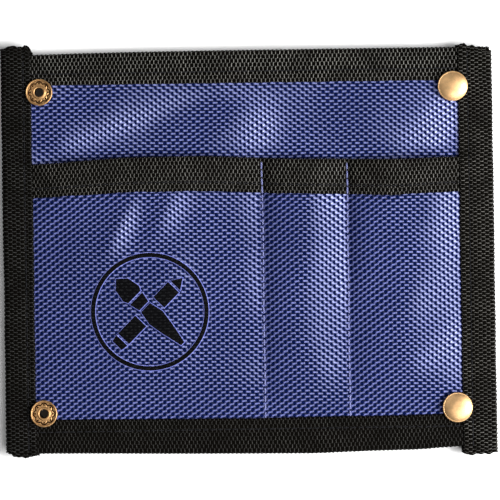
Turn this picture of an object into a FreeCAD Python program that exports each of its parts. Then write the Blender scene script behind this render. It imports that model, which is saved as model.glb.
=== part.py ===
import FreeCAD, Part
import math
import os

import Sketcher

# A flat fold-over case for brushes and small tools. Heavy nylon cloth is bound with black webbing,
# a front panel makes three pockets, and the case folds about the line x = 0 with its back inside,
# where two studs snap into two sockets. +X is across the case, +Y towards its top edge, +Z out of
# its front. It lies on its four snaps, so z = 0 is the plane under them.

DIMENSIONS = {
    # outline of the case
    "half_width": 102.25,
    "body_top": 83.2,
    "body_bottom": -84.2,
    "left_tape_top": 86.9,
    "left_tape_bottom": -84.9,
    "right_tape_top": 84.2,
    "right_tape_bottom": -86.9,
    # widths of the folded webbing as seen from the front
    "left_tape_width": 12.8,
    "right_tape_width": 13.9,
    "top_tape_width": 13.6,
    "bottom_tape_width": 14.4,
    "mouth_tape_width": 14.6,
    # thicknesses and gaps
    "cloth": 0.6,
    "tape": 0.8,
    "cloth_inset": 0.1,
    "fold_gap": 0.15,
    "lap_clearance": 0.1,
    "lap_run": 1.2,
    "tape_edge_round": 0.7,
    # pockets
    "mouth_top": 38.1,
    "seam_one": 6.1,
    "seam_two": 41.5,
    "seam_land": 0.6,
    "arch_inset": 0.25,
    "pocket_rise": 5.8,
    "taper_start": -50.0,
    "taper_end": -69.4,
    # sewing thread
    "thread_width": 0.5,
    "thread_rise": 0.25,
    "left_row_inset": 9.55,
    "right_row_inset": 9.85,
    "top_row": 74.5,
    "bottom_row": -74.7,
    "mouth_row": 27.6,
    # printed emblem
    "emblem_across": -41.4,
    "emblem_up": -25.1,
    "emblem_radius": 24.5,
    "emblem_ring": 1.8,
    "print_rise": 0.08,
    # snaps: places, and sizes of the stud and socket sides
    "snap_across": 86.15,
    "snap_up": 66.9,
    "snap_depth": 2.6,
    "sheet_metal": 0.5,
    "post_radius": 5.6,
    "post_rise": 1.1,
    "post_bore": 1.85,
    "barrel_radius": 2.15,
    "petal_ring": 3.9,
    "petal_radius": 0.42,
    "petal_depth": 0.25,
    "petal_count": 8,
    "stud_flange": 4.6,
    "stud_head": 3.1,
    "stud_neck": 2.65,
    "cap_radius": 6.25,
    "cap_rise": 2.2,
    "cap_wall": 0.4,
    "rivet_radius": 1.25,
    "rivet_bore": 0.75,
    "rivet_flare": 1.7,
    "socket_flange": 5.2,
    "socket_cup": 4.5,
    "socket_mouth": 3.25,
    "spring_groove": 3.95,
    "spring_radius": 3.1,
    "spring_wire": 0.3,
    "spring_up": 0.56,
    "spring_turn": 325.0,
    "rivet_fit": 0.1,
}

doc = FreeCAD.newDocument("snap_case")
sheet = doc.addObject("Spreadsheet::Sheet", "dims")
for row, (alias, number) in enumerate(DIMENSIONS.items(), start=1):
    sheet.set(f"A{row}", alias)
    sheet.set(f"B{row}", str(number))
    sheet.setAlias(f"B{row}", alias)
doc.recompute()


class Size:
    """A length with its value and the sheet formula that gives it."""

    def __init__(self, value, text):
        self.value = value
        self.text = text

    def _join(self, other, sign, value):
        return Size(value, f"({self.text} {sign} {other.text})")

    def __add__(self, other):
        other = as_size(other)
        return self._join(other, "+", self.value + other.value)

    def __sub__(self, other):
        other = as_size(other)
        return self._join(other, "-", self.value - other.value)

    def __mul__(self, other):
        other = as_size(other)
        return self._join(other, "*", self.value * other.value)

    def __truediv__(self, other):
        other = as_size(other)
        return self._join(other, "/", self.value / other.value)

    def __neg__(self):
        return Size(-self.value, f"(0 - {self.text})")


def as_size(thing):
    return thing if isinstance(thing, Size) else Size(float(thing), f"{float(thing):.6f}")


def dim(name):
    """A driving dimension from the sheet."""
    return Size(DIMENSIONS[name], f"dims.{name}")


def root(size):
    return Size(math.sqrt(size.value), f"sqrt({size.text})")


ZERO = as_size(0)
CLOTH = dim("cloth")
TAPE = dim("tape")

# Heights of the layers, from the back of the case to its front.
BACK_FACE = dim("snap_depth") + TAPE * 2
PANEL_TOP = BACK_FACE + CLOTH
POCKET_TOP = PANEL_TOP + CLOTH
BACK_LAP = BACK_FACE - TAPE
TOP_LAP = PANEL_TOP + TAPE
BOTTOM_LAP = POCKET_TOP + TAPE
MOUTH_LAP = POCKET_TOP + TAPE
UPPER_SEAT = TOP_LAP + TAPE
LOWER_SEAT = BOTTOM_LAP + TAPE

# Edges of the layers.
LEFT_INNER = dim("left_tape_width") - dim("half_width")
RIGHT_INNER = dim("half_width") - dim("right_tape_width")
TOP_INNER = dim("body_top") - dim("top_tape_width")
BOTTOM_INNER = dim("body_bottom") + dim("bottom_tape_width")
MOUTH_BOTTOM = dim("mouth_top") - dim("mouth_tape_width")
CLOTH_SIDE = dim("half_width") - TAPE - dim("cloth_inset")
CLOTH_TOP = dim("body_top") - TAPE - dim("cloth_inset")
CLOTH_BOTTOM = dim("body_bottom") + TAPE + dim("cloth_inset")
FOLD = dim("fold_gap")


# --- sketches -----------------------------------------------------------------------------------


def new_body(name):
    body = doc.addObject("PartDesign::Body", name)
    body.Label = name
    return body


def new_sketch(body, name, role, offset=None):
    """A sketch on one of the body's own origin planes, moved along that plane's normal."""
    plane = next(item for item in body.Origin.OriginFeatures if item.Role == role)
    sketch = body.newObject("Sketcher::SketchObject", name)
    sketch.AttachmentSupport = (plane, [""])
    sketch.MapMode = "FlatFace"
    if offset is not None:
        sketch.setExpression("AttachmentOffset.Base.z", offset.text)
    return sketch


def pin_point(sketch, geometry, end, across, up):
    """Holds one end of a line or arc at a place given by sheet formulas."""
    for kind, axis, place in (("DistanceX", -2, across), ("DistanceY", -1, up)):
        if abs(place.value) < 1e-9:
            sketch.addConstraint(Sketcher.Constraint("PointOnObject", geometry, end, axis))
            continue
        held = Sketcher.Constraint(kind, -1, 1, geometry, end, place.value)
        index = sketch.addConstraint(held)
        sketch.setExpression(f"Constraints[{index}]", place.text)


def arc_centre(start, end, radius, side):
    """Centre of the shorter arc that bulges to the left (side 1) or right (side -1) of its chord."""
    chord = end - start
    left = FreeCAD.Vector(-chord.y, chord.x, 0).normalize()
    reach = math.sqrt(max(radius**2 - (chord.Length / 2) ** 2, 0))
    return (start + end) / 2 - left * (reach * side)


def draw_outline(sketch, points):
    """A closed outline. Each point is (across, up) for a line to the next point, or
    (across, up, radius, side) for an arc to it."""
    ends = []
    for index, point in enumerate(points):
        following = points[(index + 1) % len(points)]
        start = FreeCAD.Vector(point[0].value, point[1].value, 0)
        end = FreeCAD.Vector(following[0].value, following[1].value, 0)
        if len(point) == 2:
            geometry = sketch.addGeometry(Part.LineSegment(start, end), False)
            ends.append((geometry, 1, 2))
            continue
        radius, side = point[2], point[3]
        centre = arc_centre(start, end, radius.value, side)
        first, last = (end, start) if side > 0 else (start, end)
        from_angle = math.atan2(first.y - centre.y, first.x - centre.x)
        to_angle = math.atan2(last.y - centre.y, last.x - centre.x)
        circle = Part.Circle(centre, FreeCAD.Vector(0, 0, 1), radius.value)
        geometry = sketch.addGeometry(Part.ArcOfCircle(circle, from_angle, to_angle), False)
        ends.append((geometry, 2, 1) if side > 0 else (geometry, 1, 2))
        index = sketch.addConstraint(Sketcher.Constraint("Radius", geometry, radius.value))
        sketch.setExpression(f"Constraints[{index}]", radius.text)
    for index, (geometry, start, _) in enumerate(ends):
        before, _, last = ends[index - 1]
        sketch.addConstraint(Sketcher.Constraint("Coincident", before, last, geometry, start))
        pin_point(sketch, geometry, start, points[index][0], points[index][1])


def draw_circle(sketch, across, up, radius):
    circle = Part.Circle(
        FreeCAD.Vector(across.value, up.value, 0), FreeCAD.Vector(0, 0, 1), radius.value
    )
    geometry = sketch.addGeometry(circle, False)
    pin_point(sketch, geometry, 3, across, up)
    index = sketch.addConstraint(Sketcher.Constraint("Radius", geometry, radius.value))
    sketch.setExpression(f"Constraints[{index}]", radius.text)


# --- features -----------------------------------------------------------------------------------


def add_pad(body, sketch, length, backwards=False):
    pad = body.newObject("PartDesign::Pad", f"{sketch.Name}_pad")
    pad.Profile = sketch
    pad.Length = length.value
    pad.setExpression("Length", length.text)
    pad.Reversed = backwards
    sketch.Visibility = False
    return pad


def cut_pocket(body, sketch, length, backwards=False):
    """A pocket that is checked to take material away."""
    doc.recompute()
    before = body.Shape.Volume
    pocket = body.newObject("PartDesign::Pocket", f"{sketch.Name}_pocket")
    pocket.Profile = sketch
    pocket.Length = length.value
    pocket.setExpression("Length", length.text)
    pocket.Reversed = backwards
    doc.recompute()
    if not body.Shape.Volume < before - 1e-6:
        raise RuntimeError(f"{sketch.Name} cuts nothing")
    return pocket


def spin(body, sketch):
    """A full revolution about the sketch's upright axis."""
    turned = body.newObject("PartDesign::Revolution", f"{sketch.Name}_turned")
    turned.Profile = sketch
    turned.ReferenceAxis = (sketch, ["V_Axis"])
    turned.Angle = 360
    return turned


def put_at(body, across, up):
    body.setExpression("Placement.Base.x", across.text)
    body.setExpression("Placement.Base.y", up.text)


# --- the pockets' arches ------------------------------------------------------------------------


class Arch:
    """A shallow round arch that the pocket cloth makes between two sewn lines."""

    def __init__(self, start, end):
        self.start = start
        self.end = end
        self.middle = (start + end) / 2
        self.half = (end - start) / 2
        self.rise = dim("pocket_rise")
        self.radius = (self.half * self.half + self.rise * self.rise) / (self.rise * 2)

    def height(self, across):
        """Height of the arch above its feet at a place across the case."""
        away = across - self.middle
        return root(self.radius * self.radius - away * away) - self.radius + self.rise

    def reach(self, height):
        """How far from its middle the arch still stands that high."""
        drop = self.radius - self.rise + height
        return root(self.radius * self.radius - drop * drop)


WIDE = Arch(LEFT_INNER + dim("arch_inset"), dim("seam_one") - dim("seam_land"))
NARROW = Arch(dim("seam_one") + dim("seam_land"), dim("seam_two") - dim("seam_land"))
MEDIUM = Arch(dim("seam_two") + dim("seam_land"), RIGHT_INNER - dim("arch_inset"))


def stations_left(flat=False):
    """Places across the left half, each with its height over the pocket's floor and the radius
    of the arc to the next place, from the edge to the fold."""
    fold = -FOLD
    return [
        (-CLOTH_SIDE, ZERO, None),
        (WIDE.start, ZERO, None if flat else WIDE.radius),
        (fold, ZERO if flat else WIDE.height(fold), None),
    ]


def stations_right(flat=False):
    """The same for the right half, from the fold to the edge."""
    stations = [(FOLD, ZERO if flat else WIDE.height(FOLD), None if flat else WIDE.radius)]
    stations.append((WIDE.end, ZERO, None))
    for arch in (NARROW, MEDIUM):
        stations.append((arch.start, ZERO, None if flat else arch.radius))
        stations.append((arch.end, ZERO, None))
    stations.append((CLOTH_SIDE, ZERO, None))
    return stations


def inner_lap_left():
    """Underside of the mouth webbing: it lies a tape's thickness under the arch and is squeezed
    to nothing where the cloth is sewn down."""
    fold = -FOLD
    return [
        (-CLOTH_SIDE, ZERO, None),
        (WIDE.middle - WIDE.reach(TAPE), ZERO, WIDE.radius),
        (fold, WIDE.height(fold) - TAPE, None),
    ]


def inner_lap_right():
    stations = [(FOLD, WIDE.height(FOLD) - TAPE, WIDE.radius)]
    stations.append((WIDE.middle + WIDE.reach(TAPE), ZERO, None))
    for arch in (NARROW, MEDIUM):
        stations.append((arch.middle - arch.reach(TAPE), ZERO, arch.radius))
        stations.append((arch.middle + arch.reach(TAPE), ZERO, None))
    stations.append((CLOTH_SIDE, ZERO, None))
    return stations


def close_ribbon(under, over, floor, ceiling):
    """A closed outline between two rows of stations standing on two heights."""
    points = []
    for across, height, radius in under:
        point = (across, floor + height)
        points.append(point if radius is None else point + (radius, 1))
    for index in range(len(over) - 1, -1, -1):
        across, height, _ = over[index]
        radius = over[index - 1][2] if index else None
        point = (across, ceiling + height)
        points.append(point if radius is None else point + (radius, -1))
    return points


# --- cloth --------------------------------------------------------------------------------------


def build_back_panel(name, inner, outer, hole_across, hole_radius):
    body = new_body(name)
    sheet_sketch = new_sketch(body, f"{name}_outline", "XY_Plane", BACK_FACE)
    corners = [
        (inner, CLOTH_BOTTOM),
        (outer, CLOTH_BOTTOM),
        (outer, CLOTH_TOP),
        (inner, CLOTH_TOP),
    ]
    draw_outline(sheet_sketch, corners)
    add_pad(body, sheet_sketch, CLOTH)
    holes = new_sketch(body, f"{name}_holes", "XY_Plane", PANEL_TOP)
    draw_circle(holes, hole_across, dim("snap_up"), hole_radius)
    draw_circle(holes, hole_across, -dim("snap_up"), hole_radius)
    cut_pocket(body, holes, CLOTH)
    return body


def build_pocket_panel(name, stations, hole_across, hole_radius):
    """Cloth that arches up between its seams at the mouth and lies flat along its bottom edge."""
    body = new_body(name)
    sections = []
    places = (
        ("mouth", dim("mouth_top") - TAPE - dim("cloth_inset"), False),
        ("belly", dim("taper_start"), False),
        ("foot", dim("taper_end"), True),
        ("edge", CLOTH_BOTTOM, True),
    )
    for label, place, flat in places:
        sketch = new_sketch(body, f"{name}_{label}", "XZ_Plane", -place)
        draw_outline(sketch, close_ribbon(stations(flat), stations(flat), PANEL_TOP, POCKET_TOP))
        sections.append(sketch)
    doc.recompute()
    loft = body.newObject("PartDesign::AdditiveLoft", f"{name}_loft")
    loft.Profile = sections[0]
    loft.Sections = sections[1:]
    loft.Ruled = True
    doc.recompute()
    hole = new_sketch(body, f"{name}_hole", "XY_Plane", PANEL_TOP)
    draw_circle(hole, hole_across, -dim("snap_up"), hole_radius)
    cut_pocket(body, hole, dim("pocket_rise"), backwards=True)
    return body


# --- webbing ------------------------------------------------------------------------------------


def build_cross_binding(name, start, end, edge, inner, front_lap, slot_top):
    """Webbing folded round the top or bottom edge, between two places across the case."""
    body = new_body(name)
    sketch = new_sketch(body, f"{name}_section", "YZ_Plane", start)
    outward = 1 if edge.value > inner.value else -1
    turn = dim("tape_edge_round")
    rounded = edge - turn * outward
    bottom = edge - TAPE * outward
    side = -outward
    points = [
        (inner, BACK_LAP),
        (rounded, BACK_LAP, turn, side),
        (edge, BACK_LAP + turn),
        (edge, front_lap - turn, turn, side),
        (rounded, front_lap),
        (inner, front_lap),
        (inner, slot_top),
        (bottom, slot_top),
        (bottom, BACK_FACE),
        (inner, BACK_FACE),
    ]
    draw_outline(sketch, points)
    add_pad(body, sketch, end - start)
    return body


def front_steps(low_end, high_end):
    """Underside of a side webbing's front lap, from its bottom end to its top end. It steps over
    the bottom webbing, the pocket cloth, the mouth webbing and the top webbing."""
    gap = dim("lap_clearance")
    run = dim("lap_run")
    return [
        (low_end, BOTTOM_LAP),
        (BOTTOM_INNER + gap, BOTTOM_LAP),
        (BOTTOM_INNER + gap + run, POCKET_TOP),
        (MOUTH_BOTTOM - gap - run, POCKET_TOP),
        (MOUTH_BOTTOM - gap, MOUTH_LAP),
        (dim("mouth_top") + gap, MOUTH_LAP),
        (dim("mouth_top") + gap + run, PANEL_TOP),
        (TOP_INNER - gap - run, PANEL_TOP),
        (TOP_INNER - gap, TOP_LAP),
        (high_end, TOP_LAP),
    ]


def back_steps(low_end, high_end):
    """Upper side of a side webbing's back lap."""
    gap = dim("lap_clearance")
    run = dim("lap_run")
    return [
        (low_end, BACK_LAP),
        (BOTTOM_INNER + gap, BACK_LAP),
        (BOTTOM_INNER + gap + run, BACK_FACE),
        (TOP_INNER - gap - run, BACK_FACE),
        (TOP_INNER - gap, BACK_LAP),
        (high_end, BACK_LAP),
    ]


def between(lower, upper, down, up):
    """A closed outline from one row of points lowered by a size to another raised by one."""
    under = [(along, height - down) for along, height in lower]
    over = [(along, height + up) for along, height in reversed(upper)]
    return under + over


def build_side_binding(name, outer, inner, low_end, high_end):
    """Webbing folded round a side edge, lapping over the ends of the others."""
    body = new_body(name)
    outward = 1 if outer.value > inner.value else -1
    front = front_steps(low_end, high_end)
    back = back_steps(low_end, high_end)
    whole = new_sketch(body, f"{name}_whole", "YZ_Plane", inner)
    draw_outline(whole, between(back, front, TAPE, TAPE))
    add_pad(body, whole, (outer - inner) * outward, backwards=outward < 0)
    slot = new_sketch(body, f"{name}_slot", "YZ_Plane", inner)
    draw_outline(slot, between(back, front, ZERO, ZERO))
    cut_pocket(body, slot, (outer - inner) * outward - TAPE, backwards=outward > 0)
    return body


def build_mouth_binding(name, stations, inner_lap):
    """Webbing folded over the pocket cloth's top edge, following its arches."""
    body = new_body(name)
    band = new_sketch(body, f"{name}_band", "XZ_Plane", -dim("mouth_top"))
    draw_outline(band, close_ribbon(inner_lap(), stations(), PANEL_TOP, MOUTH_LAP))
    add_pad(body, band, dim("mouth_tape_width"))
    slot = new_sketch(body, f"{name}_slot", "XZ_Plane", -dim("mouth_top") + TAPE)
    draw_outline(slot, close_ribbon(stations(), stations(), PANEL_TOP, POCKET_TOP))
    cut_pocket(body, slot, dim("mouth_tape_width"), backwards=True)
    return body


# --- thread -------------------------------------------------------------------------------------


def add_bar(body, name, start, length, along, floor):
    """A run of thread across the case, on a flat lap."""
    half = dim("thread_width") / 2
    top = floor + dim("thread_rise")
    sketch = new_sketch(body, name, "YZ_Plane", start)
    draw_outline(
        sketch,
        [(along - half, floor), (along + half, floor), (along + half, top), (along - half, top)],
    )
    add_pad(body, sketch, length)


def build_edge_thread(name, row_across, low_end, high_end, start, end):
    """The rows sewn along one half's edges, on its front and its back."""
    body = new_body(name)
    body.AllowCompound = True
    rise = dim("thread_rise")
    side_start = row_across - dim("thread_width") / 2
    inside = dim("lap_run")
    front = [(along, height + TAPE) for along, height in front_steps(low_end, high_end)]
    back = [(along, height - TAPE) for along, height in back_steps(low_end, high_end)]
    front[0] = (low_end + inside, front[0][1])
    front[-1] = (high_end - inside, front[-1][1])
    back[0] = (low_end + inside, back[0][1])
    back[-1] = (high_end - inside, back[-1][1])
    for label, row, down, up in (("front", front, ZERO, rise), ("back", back, rise, ZERO)):
        sketch = new_sketch(body, f"{name}_{label}", "YZ_Plane", side_start)
        draw_outline(sketch, between(row, row, down, up))
        add_pad(body, sketch, dim("thread_width"))
    length = end - start
    for label, along, lap in (("top", "top_row", TOP_LAP), ("bottom", "bottom_row", BOTTOM_LAP)):
        add_bar(body, f"{name}_{label}_front", start, length, dim(along), lap)
        add_bar(body, f"{name}_{label}_back", start, length, dim(along), BACK_LAP - rise)
    return body


def build_mouth_thread(name, stations):
    body = new_body(name)
    row = new_sketch(body, f"{name}_row", "XZ_Plane", -dim("mouth_row"))
    run = stations()
    if run[0][0].value < -FOLD.value:
        run[0] = (LEFT_INNER + dim("lap_clearance"), ZERO, None)
    else:
        run[-1] = (RIGHT_INNER - dim("lap_clearance"), ZERO, None)
    top = MOUTH_LAP + dim("thread_rise")
    draw_outline(row, close_ribbon(run, run, MOUTH_LAP, top))
    add_pad(body, row, dim("thread_width"))
    return body


def build_divider_thread(name, across):
    """A seam that holds the pocket cloth down to the back panel, from the mouth to the bottom."""
    body = new_body(name)
    gap = dim("lap_clearance")
    rise = dim("thread_rise")
    low = BOTTOM_INNER + gap
    step = MOUTH_BOTTOM - gap
    row_low = dim("mouth_row") - dim("thread_width") - gap
    row_high = dim("mouth_row") + gap
    high = dim("mouth_top") - gap
    sketch = new_sketch(body, f"{name}_path", "YZ_Plane", across - dim("thread_width") / 2)
    top = MOUTH_LAP + rise
    bridge = top + rise
    points = [
        (low, POCKET_TOP),
        (step, POCKET_TOP),
        (step, MOUTH_LAP),
        (row_low, MOUTH_LAP),
        (row_low, top),
        (row_high, top),
        (row_high, MOUTH_LAP),
        (high, MOUTH_LAP),
        (high, top),
        (row_high + rise, top),
        (row_high + rise, bridge),
        (row_low - rise, bridge),
        (row_low - rise, top),
        (step - rise, top),
        (step - rise, POCKET_TOP + rise),
        (low, POCKET_TOP + rise),
    ]
    draw_outline(sketch, points)
    add_pad(body, sketch, dim("thread_width"))
    return body


# --- printed emblem -----------------------------------------------------------------------------

# A brush and a pencil crossed inside a ring. Each outline is (along, aside) in shares of the
# emblem's radius, along the tool from the middle of the ring.
BRUSH_HAIR = (
    (0.80, 0.0), (0.66, 0.15), (0.44, 0.19), (0.36, 0.15), (0.36, -0.15), (0.44, -0.19), (0.66, -0.15)
)
BRUSH_FERRULE = ((0.32, 0.15), (0.14, 0.11), (0.14, -0.11), (0.32, -0.15))
BRUSH_HANDLE = (
    (0.10, 0.11), (-0.15, 0.16), (-0.40, 0.12), (-0.78, 0.04),
    (-0.78, -0.04), (-0.40, -0.12), (-0.15, -0.16), (0.10, -0.11)
)
PENCIL_TIP = ((0.80, 0.0), (0.62, 0.12), (0.62, -0.12))
PENCIL_UPPER = ((0.58, 0.13), (0.22, 0.13), (0.22, -0.13), (0.58, -0.13))
PENCIL_LOWER = ((-0.22, 0.13), (-0.64, 0.13), (-0.64, -0.13), (-0.22, -0.13))
PENCIL_END = ((-0.68, 0.13), (-0.80, 0.11), (-0.80, -0.11), (-0.68, -0.13))
BRUSH = (BRUSH_HAIR, BRUSH_FERRULE, BRUSH_HANDLE)
PENCIL = (PENCIL_TIP, PENCIL_UPPER, PENCIL_LOWER, PENCIL_END)
BRUSH_LEAN = 135.0
PENCIL_LEAN = 45.0


def lean_outline(outline, lean):
    """An outline of the emblem, turned to its tool's direction and put in its place."""
    radius = dim("emblem_radius")
    along_x = math.cos(math.radians(lean))
    along_y = math.sin(math.radians(lean))
    points = []
    for along, aside in outline:
        across = radius * (along * along_x - aside * along_y) + dim("emblem_across")
        up = radius * (along * along_y + aside * along_x) + dim("emblem_up")
        points.append((across, up))
    return points


def build_emblem(name):
    """Ink lying on the wide pocket: flat outlines stood up as prisms and kept only within a thin
    skin that follows the cloth."""
    skin = new_body(f"{name}_skin")
    top = dim("emblem_up") + dim("emblem_radius") + 1
    skin_sketch = new_sketch(skin, f"{name}_skin_section", "XZ_Plane", -top)
    run = stations_left()
    draw_outline(skin_sketch, close_ribbon(run, run, POCKET_TOP, POCKET_TOP + dim("print_rise")))
    add_pad(skin, skin_sketch, dim("emblem_radius") * 2 + 2)
    prisms = new_body(f"{name}_prisms")
    prisms.AllowCompound = True
    tall = dim("pocket_rise") + 2
    ring = new_sketch(prisms, f"{name}_ring", "XY_Plane", POCKET_TOP)
    place = (dim("emblem_across"), dim("emblem_up"))
    draw_circle(ring, *place, dim("emblem_radius"))
    draw_circle(ring, *place, dim("emblem_radius") - dim("emblem_ring"))
    add_pad(prisms, ring, tall)
    for label, tool, lean in (("brush", BRUSH, BRUSH_LEAN), ("pencil", PENCIL, PENCIL_LEAN)):
        for index, outline in enumerate(tool):
            sketch = new_sketch(prisms, f"{name}_{label}_{index}", "XY_Plane", POCKET_TOP)
            draw_outline(sketch, lean_outline(outline, lean))
            add_pad(prisms, sketch, tall)
    ink = doc.addObject("Part::Common", name)
    ink.Label = name
    ink.Base = skin
    ink.Tool = prisms
    return ink


# --- snaps --------------------------------------------------------------------------------------


def build_post(name, across, up, seat):
    """Hollow post: a face with a raised rim and a raised ring round its bore, eight petal dents,
    and a barrel that is flared out inside the stud."""
    body = new_body(name)
    sketch = new_sketch(body, f"{name}_section", "XZ_Plane")
    bore = dim("post_bore")
    barrel = dim("barrel_radius")
    outer = dim("post_radius")
    face = seat + dim("post_rise") * 0.64
    rim = seat + dim("post_rise") * 0.9
    ring = seat + dim("post_rise")
    flare = dim("stud_neck") - 0.12
    points = [
        (bore, as_size(0.25)),
        (flare, as_size(0.25)),
        (barrel, as_size(0.7)),
        (barrel, seat),
        (outer - 0.3, seat),
        (outer, seat + 0.3),
        (outer, rim - 0.2),
        (outer - 0.2, rim),
        (outer - 0.7, rim),
        (outer - 0.9, face),
        (bore + 0.9, face),
        (bore + 0.7, ring),
        (bore + 0.2, ring),
        (bore, ring - 0.2),
    ]
    draw_outline(sketch, points)
    spin(body, sketch)
    dent = new_sketch(body, f"{name}_petal", "XY_Plane", face)
    draw_circle(dent, dim("petal_ring"), ZERO, dim("petal_radius"))
    petal = cut_pocket(body, dent, dim("petal_depth"))
    petals = body.newObject("PartDesign::PolarPattern", f"{name}_petals")
    petals.Originals = [petal]
    petals.Axis = (dent, ["N_Axis"])
    petals.Angle = 360
    petals.Occurrences = int(DIMENSIONS["petal_count"])
    petals.setExpression("Occurrences", "dims.petal_count")
    body.Tip = petals
    put_at(body, across, up)
    return body


def build_stud(name, across, up):
    """Stud with a flange against the back of the case and a grooved head that the spring grips."""
    body = new_body(name)
    sketch = new_sketch(body, f"{name}_section", "XZ_Plane")
    hole = dim("barrel_radius") + 0.04
    seat = dim("snap_depth")
    under = seat - dim("sheet_metal")
    neck = dim("stud_neck")
    head = dim("stud_head")
    recess = neck - 0.06
    points = [
        (hole, as_size(0.7)),
        (recess, as_size(0.24)),
        (recess, ZERO),
        (neck + 0.1, ZERO),
        (head, as_size(0.45)),
        (head, as_size(0.85)),
        (neck, as_size(1.13)),
        (neck, under),
        (dim("stud_flange"), under),
        (dim("stud_flange"), seat),
        (hole, seat),
    ]
    draw_outline(sketch, points)
    spin(body, sketch)
    put_at(body, across, up)
    return body


def build_cap(name, across, up, seat):
    """Domed cap, a thin shell whose edge is curled in under the rivet's flange."""
    body = new_body(name)
    sketch = new_sketch(body, f"{name}_section", "XZ_Plane")
    outer = dim("cap_radius")
    wall = dim("cap_wall")
    crown = seat + dim("cap_rise")
    shoulder = seat + 0.75
    dome = crown - shoulder
    crown_radius = (outer * outer + dome * dome) / (dome * 2)
    inside = outer - wall - 0.1
    roof = crown - wall
    hollow = roof - shoulder
    roof_radius = (inside * inside + hollow * hollow) / (hollow * 2)
    lip = seat + wall * 0.75
    points = [
        (ZERO, roof),
        (ZERO, crown, crown_radius, 1),
        (outer, shoulder),
        (outer, seat + 0.35),
        (outer - 0.35, seat),
        (outer - 1.2, seat),
        (outer - 1.2, lip),
        (inside, lip),
        (inside, shoulder, roof_radius, -1),
    ]
    draw_outline(sketch, points)
    spin(body, sketch)
    put_at(body, across, up)
    return body


def build_rivet(name, across, up, seat):
    """Rivet inside the cap: a flange held by the cap's curled edge and a tube flared under the
    socket's base."""
    body = new_body(name)
    sketch = new_sketch(body, f"{name}_section", "XZ_Plane")
    bore = dim("rivet_bore")
    tube = dim("rivet_radius")
    floor = seat + dim("cap_wall") * 0.75
    flange = dim("cap_radius") - dim("cap_wall") - 0.2
    base = dim("snap_depth") - dim("sheet_metal")
    points = [
        (bore, base - 0.3),
        (dim("rivet_flare"), base - 0.3),
        (dim("rivet_flare"), base - 0.02),
        (tube, base - 0.02),
        (tube, floor),
        (flange, floor),
        (flange, floor + 0.4),
        (bore, floor + 0.4),
    ]
    draw_outline(sketch, points)
    spin(body, sketch)
    put_at(body, across, up)
    return body


def build_socket(name, across, up):
    """Socket: a flange against the back of the case and a cup with a groove for the ring spring."""
    body = new_body(name)
    sketch = new_sketch(body, f"{name}_section", "XZ_Plane")
    seat = dim("snap_depth")
    base = seat - dim("sheet_metal")
    mouth = dim("socket_mouth")
    cup = dim("socket_cup")
    flange = dim("socket_flange")
    groove = dim("spring_groove")
    groove_low = dim("spring_up") - dim("spring_wire") - 0.03
    groove_high = dim("spring_up") + dim("spring_wire") + 0.05
    points = [
        (mouth, ZERO),
        (cup - 0.4, ZERO),
        (cup, as_size(0.3)),
        (cup, seat - 0.6),
        (flange, seat - 0.6),
        (flange, seat),
        (dim("rivet_radius") + 0.05, seat),
        (dim("rivet_radius") + 0.05, base),
        (mouth, base),
        (mouth, groove_high),
        (groove, groove_high),
        (groove, groove_low),
        (mouth, groove_low),
    ]
    draw_outline(sketch, points)
    spin(body, sketch)
    put_at(body, across, up)
    return body


def build_spring(name, across, up):
    """Split wire ring lying loose in the socket's groove."""
    ring = doc.addObject("Part::Torus", name)
    ring.Label = name
    ring.Radius1 = DIMENSIONS["spring_radius"]
    ring.Radius2 = DIMENSIONS["spring_wire"]
    ring.setExpression("Radius1", "dims.spring_radius")
    ring.setExpression("Radius2", "dims.spring_wire")
    ring.setExpression("Angle3", "dims.spring_turn")
    ring.setExpression("Placement.Base.x", across.text)
    ring.setExpression("Placement.Base.y", up.text)
    ring.setExpression("Placement.Base.z", "dims.spring_up")
    return ring


# --- the assembly -------------------------------------------------------------------------------


def build_left_half():
    snap = -dim("snap_across")
    hole = dim("barrel_radius") + dim("rivet_fit")
    low, high = dim("left_tape_bottom"), dim("left_tape_top")
    edge, inner = -CLOTH_SIDE, -FOLD
    row_start = LEFT_INNER + dim("lap_clearance")
    parts = [
        build_back_panel("back_panel_left", edge, inner, snap, hole),
        build_pocket_panel("pocket_panel_left", stations_left, snap, hole),
        build_cross_binding(
            "top_binding_left", edge, inner, dim("body_top"), TOP_INNER, TOP_LAP, PANEL_TOP
        ),
        build_cross_binding(
            "bottom_binding_left", edge, inner, dim("body_bottom"), BOTTOM_INNER, BOTTOM_LAP, POCKET_TOP
        ),
        build_mouth_binding("mouth_binding_left", stations_left, inner_lap_left),
        build_side_binding("left_binding", -dim("half_width"), LEFT_INNER, low, high),
        build_edge_thread(
            "edge_thread_left", dim("left_row_inset") - dim("half_width"), low, high, row_start, inner
        ),
        build_mouth_thread("mouth_thread_left", stations_left),
        build_emblem("emblem_print"),
    ]
    for label, up, seat in (("upper", dim("snap_up"), UPPER_SEAT), ("lower", -dim("snap_up"), LOWER_SEAT)):
        parts.append(build_post(f"{label}_post", snap, up, seat))
        parts.append(build_stud(f"{label}_stud", snap, up))
    return parts


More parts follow.
